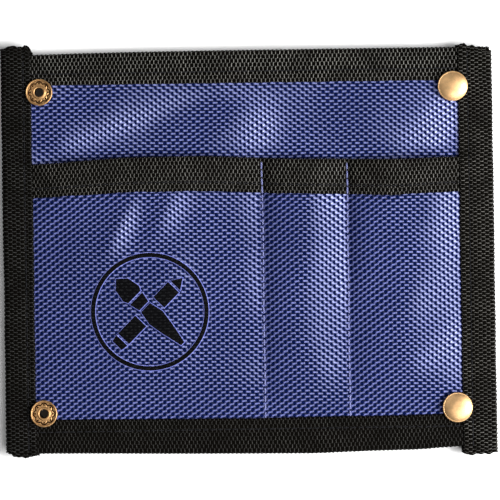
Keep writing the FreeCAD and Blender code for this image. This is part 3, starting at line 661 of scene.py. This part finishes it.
def build_tape(name, material, lengthwise, along, inner_front, inner_back, outer, front_top, back_bottom,
               end_shift=None):
    """A strip of webbing folded lengthwise over an edge. The front and back heights are functions of
    the place along and across; `lengthwise` is True where the strip runs along Y."""
    columns, front_count = tape_columns(along, inner_front, inner_back, outer, front_top, back_bottom)
    across, height, shares, flat_t = zip(*columns)
    across, height = np.stack(across, 1), np.stack(height, 1)
    flat_t = np.array(flat_t) - COLUMN * FOLD_COLUMNS / 2 + RIB_ACROSS / 2
    length = np.repeat(along[:, None], across.shape[1], 1)
    if end_shift is not None:
        length = length + end_shift(length, np.array(shares)[None, :])
    order = (across, length) if lengthwise else (length, across)
    skin = np.stack([*order, height], -1)
    normal = np.cross(np.gradient(skin, axis=0), np.gradient(skin, axis=1))
    normal /= np.linalg.norm(normal, axis=-1, keepdims=True)
    if normal[:, 2:front_count - 2, 2].mean() < 0:
        normal = -normal
    lining = (skin - normal * TAPE * LINING)[:, ::2]
    pillows = rib_relief(along[:, None], flat_t[None, :]) - PILLOW_LEVEL
    on_turn = np.exp(-((flat_t - RIB_ACROSS / 2) / 1.3) ** 2)[None, :]
    skin = skin + normal * (pillows * (PILLOW + PILLOW_ON_TURN * on_turn))[..., None]
    skin[:, 0, 2] -= EDGE_DIP
    skin[:, -1, 2] += EDGE_DIP
    rows, wide = skin.shape[:2]
    narrow = lining.shape[1]
    start = rows * wide
    faces = grid_quads(rows, wide).tolist() + grid_quads(rows, narrow, start)[:, ::-1].tolist()
    a = np.arange(rows - 1)
    for first, second in ((0, 0), (wide - 1, narrow - 1)):
        faces += np.stack([a * wide + first, (a + 1) * wide + first, start + (a + 1) * narrow + second,
                           start + a * narrow + second], -1).tolist()
    for row in (0, rows - 1):
        for k in range(narrow - 1):
            a, b = row * wide + 2 * k, start + row * narrow + k
            faces.append([a, a + 1, a + 2, b + 1, b])
    flat = np.stack(np.broadcast_arrays(along[:, None], flat_t[None, :]), -1)
    uv = np.concatenate([flat.reshape(-1, 2), flat[:, ::2].reshape(-1, 2)])
    points = np.concatenate([skin.reshape(-1, 3), lining.reshape(-1, 3)])
    return dress(finish_mesh(name, points, faces, uv), material)


GROOVE_WIDTH = 0.6


def stitched(across, row, outer, depth=0.25):
    """The groove that a sewn row pulls into a tape, and the fuller part outside it."""
    groove = -depth * np.exp(-(((across - row) / GROOVE_WIDTH) ** 2))
    beyond = np.clip((across - row) / (outer - row), 0.0, 1.0)
    return groove + 0.28 * np.sin(math.pi * beyond) ** 0.8


# how far the tapes lie off the cloth, and how softly their edges bend
ON_CLOTH = 0.06
BEND_BLUR = 9.0


def strays(base, points, blur=BEND_BLUR):
    """A cross tape's edge or row, off straight by the shifts of a few (x, shift) points."""
    return lambda x: base + soft_line(points, x, blur)


MOUTH_SAG = (
    (-89, -0.7), (-78, -0.3), (-53, 1.1), (-20, 1.3), (20, -0.5), (35, -0.8), (63, -1.7), (80, -0.7),
    (89, -0.5),
)
top_edge = strays(TOP_HIGH[1], ((-101, -0.9), (-75, -0.35), (-45, 0.0), (0, 0.1), (101, 0.0)))
top_inner = strays(INNER_TOP, ((-101, 0.3), (-60, 0.15), (0, 0.0), (60, -0.1), (101, 0.1)))
bottom_edge = strays(BOTTOM_LOW[1], (
    (-101, 0.7), (-74, 0.5), (-30, -0.3), (26, -1.0), (50, -0.3), (70, -0.1), (86, 1.0), (101, 1.2)), 8.0)
bottom_inner = strays(INNER_BOTTOM, ((-101, 0.5), (-60, 0.1), (0, -0.4), (60, -0.2), (101, 1.0)))
mouth_top = strays(MOUTH_HIGH[1], (
    (-89, -1.3), (-78, -0.7), (-53, 1.0), (-20, 1.25), (20, -0.5), (35, -0.6), (63, -1.3), (80, -0.7),
    (89, -0.6)))
mouth_bottom = strays(MOUTH_LOW[1], MOUTH_SAG)
mouth_row = strays(ROW_MOUTH, MOUTH_SAG)


def top_front(x, y):
    wave = 0.12 * wobble(x, 0.0, 31, 22.0) * soft_step(y, ROW_TOP, TOP_HIGH[1])
    return TOP_HIGH[2] + ON_CLOTH + stitched(y, ROW_TOP, TOP_HIGH[1]) + wave


def bottom_front(x, y):
    wave = 0.15 * wobble(x, 0.0, 32, 20.0) * soft_step(-y, -ROW_BOTTOM, -BOTTOM_LOW[1])
    return BOTTOM_HIGH[2] + ON_CLOTH + stitched(y, ROW_BOTTOM, BOTTOM_LOW[1]) + wave


def back_lay(row, outer):
    return lambda x, y: BACK_LAY - 0.4 * stitched(y, row, outer, 0.5) + 0 * x


def seam_pinch(x):
    """Where the divider seams cross a tape they pull it in."""
    return sum(np.exp(-(((x - seam) / 0.9) ** 2)) for seam in (SEAM_ONE, SEAM_TWO))


def mouth_front(x, y):
    groove = -0.2 * np.exp(-(((y - mouth_row(x)) / GROOVE_WIDTH) ** 2))
    share = (y - MOUTH_LOW[1] - 4) / (MOUTH_HIGH[1] - MOUTH_LOW[1] - 4)
    crown = 0.22 * np.sin(math.pi * np.clip(share, 0, 1))
    return pocket_top(x, y) + TAPE + 2 * ON_CLOTH + (groove + crown) - 0.45 * seam_pinch(x)


def mouth_back(x, y):
    return np.maximum(pocket_top(x, y) - CLOTH - TAPE - 0.1, PANEL_FACE + 0.05)


def build_cross_tapes():
    x = np.arange(-CLOTH_X, CLOTH_X + STEP, STEP)
    straight = np.ones(len(x))
    inner = top_inner(x) + 0.1 * wobble(x, 0.0, 41, 7.0)
    top = build_tape("top_binding", TOP_WEBBING, False, x, inner, straight * INNER_TOP - 0.5, top_edge(x),
                     top_front, back_lay(ROW_TOP, TOP_HIGH[1]))
    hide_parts("top_binding_left", "top_binding_right")
    inner = bottom_inner(x) + 0.1 * wobble(x, 0.0, 42, 7.0)
    bottom = build_tape("bottom_binding", BOTTOM_WEBBING, False, x, inner, straight * INNER_BOTTOM + 0.4,
                        bottom_edge(x), bottom_front, back_lay(ROW_BOTTOM, BOTTOM_LOW[1]))
    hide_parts("bottom_binding_left", "bottom_binding_right")
    inner = mouth_bottom(x) + 0.12 * wobble(x, 0.0, 43, 7.0)
    mouth = build_tape("mouth_binding", MOUTH_WEBBING, False, x, inner, inner + 0.9, mouth_top(x),
                       mouth_front, mouth_back)
    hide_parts("mouth_binding_left", "mouth_binding_right")
    return top, bottom, mouth


# what lies under the side tapes in front, and their height behind, as (y, height) points
OVER_POCKET = POCKET_FLAT + 0.05
SIDE_UNDER = (
    (-88.0, 4.9), (BOTTOM_LOW[1] - 0.3, 6.2), (INNER_BOTTOM - 1.0, 6.25), (INNER_BOTTOM + 2.2, OVER_POCKET),
    (MOUTH_LOW[1] - 2.6, OVER_POCKET), (MOUTH_LOW[1] - 0.2, 6.3), (MOUTH_HIGH[1] - 1.2, 6.3),
    (MOUTH_HIGH[1] + 1.6, PANEL_FACE + 0.1), (INNER_TOP - 2.4, PANEL_FACE + 0.1), (INNER_TOP + 0.6, 5.7),
    (TOP_HIGH[1] - 0.4, 5.7), (88.0, 4.7),
)
SIDE_BACK = (
    (-88.0, 3.3), (BOTTOM_LOW[1], BACK_LAY - TAPE), (INNER_BOTTOM, BACK_LAY - TAPE),
    (INNER_BOTTOM + 2.6, BACK_LAY), (INNER_TOP - 2.6, BACK_LAY), (INNER_TOP, BACK_LAY - TAPE),
    (TOP_HIGH[1], BACK_LAY - TAPE), (88.0, 3.3),
)
SIDE_BLUR = 1.6
# the right tape is this much wider than its solid, as in the photo
RIGHT_WIDER = 0.45
# how far in from its ends a side tape is cut askew
END_REACH = 5.0


def build_side_tape(name, material, low, high, inner, outer, row, seed, low_end, high_end):
    """A tape down one side, over the ends of the cross tapes. The end shapes are (share of the
    width from the inner edge, shift) points."""
    y = np.arange(low, high + STEP / 2, STEP)
    side = math.copysign(1.0, outer)
    edge = outer + max(side, 0.0) * RIGHT_WIDER - side * (0.05 + 0.12 * np.abs(wobble(y, 0.0, seed, 30.0)))
    inside = inner + 0.16 * wobble(y, 0.0, seed + 1, 24.0) + 0.07 * wobble(y, 0.0, seed + 2, 6.0)
    behind = inner - side * (0.9 + 0.35 * wobble(y, 0.0, seed + 3, 40.0))

    def front(along, across):
        lumps = 0.13 * wobble(along, across, seed + 4, 12.0)
        return soft_line(SIDE_UNDER, along, SIDE_BLUR) + TAPE + stitched(across, row, outer, 0.3) + lumps

    def back(along, across):
        return soft_line(SIDE_BACK, along, SIDE_BLUR) - 0.4 * stitched(across, row, outer, 0.5)

    def end_shift(length, share):
        ragged = 0.3 * wobble(share * 13.0, length * 0.2, seed + 5, 1.3)
        at_low = soft_step(-length, -low - END_REACH, -low)
        at_high = soft_step(length, high - END_REACH, high)
        return (at_low * (soft_line(low_end, share, 0.05) + ragged)
                + at_high * (soft_line(high_end, share, 0.05) + ragged))

    return build_tape(name, material, True, y, inside, behind, edge, front, back, end_shift)


def build_side_tapes():
    left = build_side_tape(
        "left_edge_binding", LEFT_WEBBING, LEFT_LOW[1], LEFT_HIGH[1], INNER_LEFT, LEFT_LOW[0], ROW_LEFT, 51,
        ((0, 0.3), (0.12, 0.1), (0.4, 0.0), (0.8, 0.1), (0.92, 0.4), (1, 1.8)),
        ((0, -3.2), (0.1, -1.4), (0.17, -0.6), (0.22, 0.2), (0.27, -0.6), (0.6, -0.4), (0.85, -0.8),
         (1, -2.2)))
    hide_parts("left_binding")
    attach(left, "left_half")
    right = build_side_tape(
        "right_edge_binding", RIGHT_WEBBING, RIGHT_LOW[1], RIGHT_HIGH[1], INNER_RIGHT, RIGHT_HIGH[0],
        ROW_RIGHT, 61,
        ((0, 1.2), (0.12, 0.3), (0.3, -0.1), (0.5, 0.4), (0.75, 0.5), (0.92, 0.1), (1, 0.9)),
        ((0, -0.5), (0.1, 0.4), (0.17, 0.5), (0.3, -0.1), (0.6, -0.9), (0.9, -1.5), (1, -2.6)))
    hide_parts("right_binding")
    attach(right, "right_half")
    return left, right


# ---- sewing

BLACK = dict(pitch=3.05, run=2.75, radius=0.24, dip=0.34)
BLUE_FRONT = dict(pitch=3.3, run=3.2, radius=0.40, dip=0.30)
BLUE_BACK = dict(pitch=3.3, run=3.0, radius=0.3, dip=0.34)
STITCH_RINGS = 9
STITCH_SIDES = 8
# how far the cross tapes' rows run on under the side tapes
ROW_REACH = 2.0


def build_stitches(start, stop, row, face, lengthwise, front, pitch, run, radius, dip, seed):
    """A row of lockstitches: each one comes up out of the tape, lies on it and dives back in.
    `row` and `face` give the row's place across and the height of the face it lies on."""
    draw = np.random.default_rng(seed)
    count = int((stop - start) / pitch)
    rings, sides = STITCH_RINGS, STITCH_SIDES
    u = np.linspace(-1, 1, rings)[None, :, None]
    turn = np.linspace(0, 2 * math.pi, sides, endpoint=False)[None, None, :]
    centre = (start + (np.arange(count) + 0.5) * (stop - start) / count)[:, None, None]
    lean = draw.normal(0, 0.05, count)[:, None, None]
    reach = run / 2 * (1 + draw.normal(0, 0.03, count))[:, None, None]
    thick = radius * np.sqrt(np.clip(1 - np.abs(u) ** 6, 0.02, 1))
    along = centre + u * reach + 0 * turn
    across = row(along) + lean * u + thick * np.cos(turn)
    rise = radius * 0.55 - dip * np.abs(u) ** 3.5 + thick * np.sin(turn)
    height = face(along, row(along)) + (rise if front else -rise)
    order = (across, along) if lengthwise else (along, across)
    points = np.stack(np.broadcast_arrays(*order, height), -1)
    uv = np.stack(np.broadcast_arrays(along, turn * radius), -1)
    ring, seat = np.arange(rings - 1)[:, None] * sides, np.arange(sides)[None, :]
    after = (seat + 1) % sides
    quads = np.stack([ring + seat, ring + after, ring + sides + after, ring + sides + seat], -1)
    each = rings * sides
    faces = (quads.reshape(-1, 4)[None] + (np.arange(count) * each)[:, None, None]).reshape(-1, 4).tolist()
    for k in range(0, count * each, each):
        faces += [list(range(k, k + sides)), list(range(k + each - 1, k + each - 1 - sides, -1))]
    return points.reshape(-1, 3), faces, uv.reshape(-1, 2)


def join_rows(name, rows, material):
    points, faces, uv = [], [], []
    total = 0
    for row_points, row_faces, row_uv in rows:
        points.append(row_points)
        uv.append(row_uv)
        faces += [[i + total for i in face] for face in row_faces]
        total += len(row_points)
    return dress(finish_mesh(name, np.concatenate(points), faces, np.concatenate(uv)), material)


def edge_rows(name, start, stop, place, front_face, back_face, lengthwise, seed):
    """One straight row, seen on both sides of the tape it goes through."""
    def row(along):
        return place + 0 * along

    rows = [build_stitches(start, stop, row, front_face, lengthwise, True, seed=seed, **BLACK),
            build_stitches(start, stop, row, back_face, lengthwise, False, seed=seed + 1, **BLACK)]
    return join_rows(name, rows, BLACK_THREAD)


def side_face(level, lift):
    return lambda along, across: soft_line(level, along, SIDE_BLUR) + lift


def build_threads():
    low, high = INNER_LEFT - ROW_REACH, INNER_RIGHT + ROW_REACH
    top = edge_rows("top_stitching", low, high, ROW_TOP, top_front, back_lay(ROW_TOP, TOP_HIGH[1]), False, 71)
    bottom = edge_rows("bottom_stitching", low, high, ROW_BOTTOM, bottom_front,
                       back_lay(ROW_BOTTOM, BOTTOM_LOW[1]), False, 73)
    mouth = join_rows("mouth_stitching",
                      [build_stitches(low, high, mouth_row, mouth_front, False, True, seed=75, **BLACK)],
                      BLACK_THREAD)
    faces = side_face(SIDE_UNDER, TAPE - 0.28), side_face(SIDE_BACK, 0.2)
    left = edge_rows("left_stitching", LEFT_LOW[1] + 2.5, LEFT_HIGH[1] - 3.5, ROW_LEFT, *faces, True, 77)
    right = edge_rows("right_stitching", RIGHT_LOW[1] + 3.5, RIGHT_HIGH[1] - 2.5, ROW_RIGHT, *faces, True, 79)
    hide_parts("edge_thread_left", "edge_thread_right")
    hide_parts("edge_thread_left", "edge_thread_right")
    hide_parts("mouth_thread_left", "mouth_thread_right")
    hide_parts("edge_thread_left")
    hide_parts("edge_thread_right")
    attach(left, "left_half")
    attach(right, "right_half")
    return top, bottom, mouth


def build_divider(name, seam, node, seed):
    """Pale blue lockstitches that divide two pockets, through the mouth tape and down the cloth."""
    start, stop = INNER_BOTTOM - 0.8, mouth_top(seam) - 1.5
    tape_low = mouth_bottom(seam)

    def row(along):
        return seam + 0.16 * wobble(along, 0.0, seed, 26.0)

    def face(along, across):
        on_tape = soft_step(along, tape_low - 0.5, tape_low + 0.3)
        return pocket_top(seam, along) - 0.36 + on_tape * (TAPE + 0.08)

    def behind(along, across):
        return PANEL_BACK

    rows = [build_stitches(start, stop, row, face, True, True, seed=seed, **BLUE_FRONT),
            build_stitches(start, stop, row, behind, True, False, seed=seed + 1, **BLUE_BACK)]
    piece = join_rows(name, rows, BLUE_THREAD)
    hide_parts(node)
    return piece


# ---- emblem

# a generic brush and pencil, crossed: each one's heading in degrees, and its solid shapes as (along,
# half width) points in shares of the ring's radius
BRUSH = (
    ((0.36, 0.15), (0.44, 0.19), (0.66, 0.15), (0.80, 0.0)),
    ((0.14, 0.11), (0.32, 0.15)),
    ((-0.78, 0.04), (-0.40, 0.12), (-0.15, 0.16), (0.10, 0.11)),
)
PENCIL = (
    ((0.62, 0.12), (0.80, 0.0)),
    ((0.22, 0.13), (0.58, 0.13)),
    ((-0.64, 0.13), (-0.22, 0.13)),
    ((-0.80, 0.11), (-0.68, 0.13)),
)
TOOLS = ((135.0, BRUSH), (45.0, PENCIL))
EMBLEM_LOW, EMBLEM_HIGH = box_mm("emblem_print")
EMBLEM_AT = (EMBLEM_LOW + EMBLEM_HIGH)[:2] / 2
EMBLEM_RADIUS = (EMBLEM_HIGH[0] - EMBLEM_LOW[0]) / 2
EMBLEM_BAND = 1.8
# each layer's name, how much larger it is all round, how high it lies on the cloth, and its look
LAYERS = (("edge", 0.32, 0.05, HALO_LOOK), ("ink", 0.0, 0.10, INK_LOOK))
CLOTH_GRID = pocket_surface(*np.meshgrid(CLOTH_AT_X, POCKET_AT_Y))


def on_cloth(x, y):
    """Height of the cloth's own mesh, between its points."""
    i = (x - CLOTH_AT_X[0]) / (CELL_X / 2)
    j = (y - POCKET_AT_Y[0]) / (CELL_Y / 2)
    a, b = np.floor(i).astype(int), np.floor(j).astype(int)
    s, t = i - a, j - b
    low = CLOTH_GRID[b, a] * (1 - s) + CLOTH_GRID[b, a + 1] * s
    high = CLOTH_GRID[b + 1, a] * (1 - s) + CLOTH_GRID[b + 1, a + 1] * s
    return low * (1 - t) + high * t


def print_patch(name, x, y, lift, material):
    z = on_cloth(x, y)
    piece = shell(name, np.stack([x, y, z + lift], -1), np.stack([x, y, z - 0.02], -1), np.stack([x, y], -1))
    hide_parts("emblem_print")
    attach(piece, "left_half")
    return dress(piece, material)


def print_tool(name, outline, lean, grow, lift, material):
    """One solid shape of the emblem, `grow` mm larger all round."""
    along, half = np.array(outline, float).T * EMBLEM_RADIUS
    count = max(4, int((along[-1] - along[0]) / 0.32))
    s = np.linspace(along[0] - grow, along[-1] + grow, count)
    width = np.maximum(np.interp(s, along, half) + grow, 0.06)
    t = np.linspace(-1, 1, max(5, int(width.max() / 0.18)))
    s, t = np.meshgrid(s, t)
    w = t * width[None, :]
    angle = math.radians(lean)
    x = EMBLEM_AT[0] + s * math.cos(angle) - w * math.sin(angle)
    y = EMBLEM_AT[1] + s * math.sin(angle) + w * math.cos(angle)
    return print_patch(name, x, y, lift, material)


def print_ring(name, grow, lift, material):
    turn = np.linspace(0, 2 * math.pi, 421)
    radius = np.linspace(EMBLEM_RADIUS - EMBLEM_BAND - grow, EMBLEM_RADIUS + grow, 8)
    r, a = np.meshgrid(radius, turn)
    return print_patch(name, EMBLEM_AT[0] + r * np.cos(a), EMBLEM_AT[1] + r * np.sin(a), lift, material)


def build_emblem():
    for layer, grow, lift, material in LAYERS:
        print_ring(f"emblem_ring_{layer}", grow, lift, material)
        for lean, shapes in TOOLS:
            for k, outline in enumerate(shapes):
                print_tool(f"emblem_{int(lean)}_{k}_{layer}", outline, lean, grow, lift, material)


# ---- snaps


def rounded(points, passes):
    """A polyline with its corners cut round; its two ends stay."""
    line = np.array(points, float)
    for _ in range(passes):
        a, b = line[:-1], line[1:]
        cut = np.stack([a * 0.8 + b * 0.2, a * 0.2 + b * 0.8], 1).reshape(-1, 2)
        line = np.concatenate([line[:1], cut[1:-1], line[-1:]])
    return line


def lathe(name, profile, node, material, body, segments=96, shape=None):
    """A turned piece about the CAD node's own axis, from (radius, height) points. `shape` gives each
    point's drop and tone."""
    profile = np.array(profile, float)
    turn = np.linspace(0, 2 * math.pi, segments + 1)
    radius, height, angle = np.broadcast_arrays(profile[:, :1], profile[:, 1:], turn[None, :])
    drop, tone = shape(radius, angle, height) if shape else (0.0, np.zeros(radius.shape))
    height = height - drop
    x, y = middle(node)[:2]
    points = np.stack([x + radius * np.cos(angle), y + radius * np.sin(angle), height], -1).reshape(-1, 3)
    uv = np.stack([angle * 5.0, height], -1).reshape(-1, 2)
    faces = grid_quads(*radius.shape).tolist()
    piece = finish_mesh(name, points, faces, uv, tone.ravel(), merge=True, sharp=50)
    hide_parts(node)
    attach(piece, body)
    return dress(piece, material)


def closed(profile):
    return np.concatenate([profile, profile[:1]])


BORE = 1.85


def build_post(node):
    """Hollow post: rolled rim, a scalloped groove round eight petals with a dot in each, and a
    raised ring round the bore."""
    low, high = box_mm(node)
    seat = high[2] - 1.1
    face = seat + 0.72
    outer = (high[0] - low[0]) / 2
    profile = closed([
        (BORE, 0.3), (BORE + 0.2, 0.25), (2.5, 0.25), (2.15, 0.7), (2.15, seat - 0.2), (2.4, seat),
        (outer - 0.3, seat), (outer - 0.06, seat + 0.12), (outer, seat + 0.45), (outer - 0.04, seat + 0.8),
        (outer - 0.18, seat + 0.96), (outer - 0.36, seat + 1.0), (outer - 0.54, seat + 0.94),
        (outer - 0.66, seat + 0.8), *[(r, face) for r in np.linspace(2.85, 4.86, 30)[::-1]],
        (2.76, face + 0.06), (2.66, seat + 0.98), (2.5, seat + 1.08), (2.3, seat + 1.1), (2.08, seat + 1.08),
        (BORE + 0.06, seat + 0.96), (BORE, seat + 0.75), (BORE, seat - 1.0),
    ])

    def petals(radius, angle, height):
        on_face = (height > seat + 0.5) & (radius > 2.84) & (radius < 4.88)
        scallop = 3.62 + 0.86 * np.abs(np.cos(4 * angle)) ** 0.7
        groove = np.exp(-(((radius - scallop) / 0.30) ** 2))
        flutes = np.exp(-((np.sin(4 * (angle + math.pi / 8)) / 0.35) ** 2)) * (radius < scallop)
        flutes = flutes * soft_step(radius, 3.3, 3.9) * 0.7
        near = (angle + math.pi / 8) % (math.pi / 4) - math.pi / 8
        pit = 1 - soft_step(np.hypot(radius * np.cos(near) - 3.72, radius * np.sin(near)), 0.22, 0.42)
        rim = soft_step(radius, scallop + 0.05, scallop + 0.2) * 0.45
        depth = np.maximum.reduce([groove, flutes * 0.6, pit, rim])
        tone = np.maximum.reduce([groove, flutes * 0.5, pit, rim * 0.9])
        # the inside of the bore is painted near black: painted shade in the hole
        shaded_bore = (radius < BORE + 0.01) & (height < seat + 0.7)
        return np.where(on_face, 0.5 * depth, 0.0), np.where(shaded_bore, 0.9, np.where(on_face, tone, 0.0))

    return lathe(f"{node}_face", profile, node, ANTIQUE, "left_half", 240, petals)


def build_cap(node):
    """Low domed cap with a fine rolled edge."""
    low, high = box_mm(node)
    seat, crown = low[2], high[2]
    outer = (high[0] - low[0]) / 2
    dome = outer - 0.55
    shoulder = seat + 0.92
    share = np.linspace(0, 1, 22)
    over = [(dome * s, crown - (crown - shoulder) * (0.82 * s ** 2.2 + 0.18 * s ** 6)) for s in share]
    under = [((dome - 0.3) * s, crown - 0.4 - (crown - shoulder - 0.1) * s ** 2.4) for s in share[::-1]]
    edge = [
        (dome + 0.10, shoulder - 0.06), (dome + 0.20, shoulder - 0.02), (dome + 0.36, shoulder - 0.06),
        (outer - 0.06, shoulder - 0.22), (outer, shoulder - 0.48), (outer - 0.08, seat + 0.2),
        (outer - 0.3, seat + 0.04), (outer - 0.6, seat), (outer - 1.2, seat), (outer - 1.2, seat + 0.3),
        (outer - 0.6, seat + 0.32),
    ]
    return lathe(f"{node}_dome", over + edge + under, node, SATIN, "right_half", 120)


def build_stud(node):
    seat = box_mm(node)[1][2]
    profile = closed(rounded([
        (2.19, seat), (2.19, 0.9), (2.55, 0.4), (2.6, 0.1), (2.72, 0.0), (2.9, 0.1), (3.1, 0.4), (3.1, 0.85),
        (2.9, 1.05), (2.65, 1.2), (2.65, 1.95), (2.75, seat - 0.5), (4.4, seat - 0.5), (4.6, seat - 0.4),
        (4.6, seat - 0.1), (4.5, seat), (2.3, seat),
    ], 2))
    return lathe(f"{node}_turned", profile, node, PLAIN, "left_half")


def build_socket(node):
    seat = box_mm(node)[1][2]
    profile = closed(rounded([
        (3.25, 0.2), (3.35, 0.02), (3.6, 0.0), (4.1, 0.0), (4.4, 0.1), (4.5, 0.4), (4.5, seat - 0.8),
        (4.55, seat - 0.6), (5.0, seat - 0.6), (5.2, seat - 0.5), (5.2, seat - 0.1), (5.1, seat),
        (1.35, seat), (1.3, seat - 0.1), (1.3, seat - 0.5), (3.2, seat - 0.5), (3.25, seat - 0.6),
        (3.25, 0.93), (3.35, 0.91), (3.95, 0.9), (3.95, 0.24), (3.35, 0.23), (3.25, 0.22),
    ], 1))
    return lathe(f"{node}_turned", profile, node, PLAIN, "right_half")


def build_snaps():
    for place in ("upper", "lower"):
        build_post(f"{place}_post")
        build_stud(f"{place}_stud")
        build_cap(f"{place}_cap")
        build_socket(f"{place}_socket")
        for node, material in ((f"{place}_rivet", PLAIN), (f"{place}_ring_spring", WIRE)):
            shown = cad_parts[node]
            shown.data.materials.clear()
            shown.data.materials.append(material)


# ---- put together

pocket_panel = build_pocket_panel()
back_panel = build_back_panel()
top_tape, bottom_tape, mouth_tape = build_cross_tapes()
left_tape, right_tape = build_side_tapes()
top_rows, bottom_rows, mouth_rows = build_threads()
left_divider = build_divider("left_divider_stitching", SEAM_ONE, "left_divider_thread", 81)
right_divider = build_divider("right_divider_stitching", SEAM_TWO, "right_divider_thread", 83)
bend_at_fold(pocket_panel, back_panel, top_tape, bottom_tape, mouth_tape, top_rows, bottom_rows, mouth_rows,
             left_divider)
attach(right_divider, "right_half")
build_emblem()
build_snaps()


def declare_sheets():
    """Every cut of cloth and webbing, with its flat size; the loop does nothing with them."""
    wide = 2 * CLOTH_X * MM
    for tape, cut, length in (
        (top_tape, 0.030, wide), (bottom_tape, 0.031, wide), (mouth_tape, 0.030, wide + 0.003),
        (left_tape, 0.029, (LEFT_HIGH[1] - LEFT_LOW[1]) * MM),
        (right_tape, 0.031, (RIGHT_HIGH[1] - RIGHT_LOW[1]) * MM),
    ):
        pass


declare_sheets()

# ---- floor, light and camera, in metres

FLOOR_HALF = 4.0
FLOOR_Z = -0.0001
# name, place, size and power of each light; they all face the origin
LIGHTS = (
    ("key", (1.06, -0.14, 0.80), (0.6, 0.8), 33.0),
    ("soft_box", (0.40, -0.56, 1.0), (0.6, 0.6), 7.0),
    ("fill", (-0.9, 0.9, 1.0), (1.6, 1.6), 6.0),
)
WORLD_STRENGTH = 0.14
SENSOR = 36.0
CAMERA_AWAY = 1.6
CAMERA_OVER = 0.006
VIEW_WIDTH = 0.2083
VIEW_TURN = math.radians(-0.9)
AIM_RIGHT, AIM_UP = 0.00069, -0.00007


def build_floor():
    mesh = bpy.data.meshes.new("floor")
    corners = [(x * FLOOR_HALF, y * FLOOR_HALF, FLOOR_Z) for x, y in ((-1, -1), (1, -1), (1, 1), (-1, 1))]
    mesh.from_pydata(corners, [], [(0, 1, 2, 3)])
    shader = Shader("floor_paint", Base_Color=rgb(0.97, 0.97, 0.97), Roughness=0.9, Specular_IOR_Level=0.1)
    mesh.materials.append(shader.material)
    floor = place_object("floor", mesh)


def build_light(name, place, size, power):
    lamp = bpy.data.lights.new(name, "AREA")
    lamp.shape = "RECTANGLE"
    lamp.size, lamp.size_y = size
    lamp.energy = power
    holder = place_object(name, lamp)
    holder.location = place
    holder.rotation_mode = "QUATERNION"
    holder.rotation_quaternion = (-Vector(place)).to_track_quat("-Z", "Y")


def build_world():
    world = bpy.data.worlds.new("studio")
    world.use_nodes = True
    background = world.node_tree.nodes["Background"]
    background.inputs["Color"].default_value = rgb(1.0, 1.0, 1.0)
    background.inputs["Strength"].default_value = WORLD_STRENGTH
    bpy.context.scene.world = world
    bpy.context.scene.view_settings.view_transform = "Standard"


def build_stage():
    build_floor()
    for light in LIGHTS:
        build_light(*light)
    build_world()


def build_camera():
    """Straight above the case, far off, turned a little so that the case leans as it was laid."""
    right = Vector((math.cos(VIEW_TURN), math.sin(VIEW_TURN), 0))
    up = Vector((-math.sin(VIEW_TURN), math.cos(VIEW_TURN), 0))
    lens = bpy.data.cameras.new("camera")
    lens.sensor_width = SENSOR
    lens.lens = SENSOR * CAMERA_AWAY / VIEW_WIDTH
    lens.clip_start, lens.clip_end = 0.05, 50.0
    camera = place_object("camera", lens)
    place = right * AIM_RIGHT + up * AIM_UP + Vector((0, 0, CAMERA_AWAY + CAMERA_OVER))
    facing = Matrix((right, up, Vector((0, 0, 1)))).transposed()
    camera.matrix_world = Matrix.Translation(place) @ facing.to_4x4()
    bpy.context.scene.camera = camera


build_stage()
build_camera()
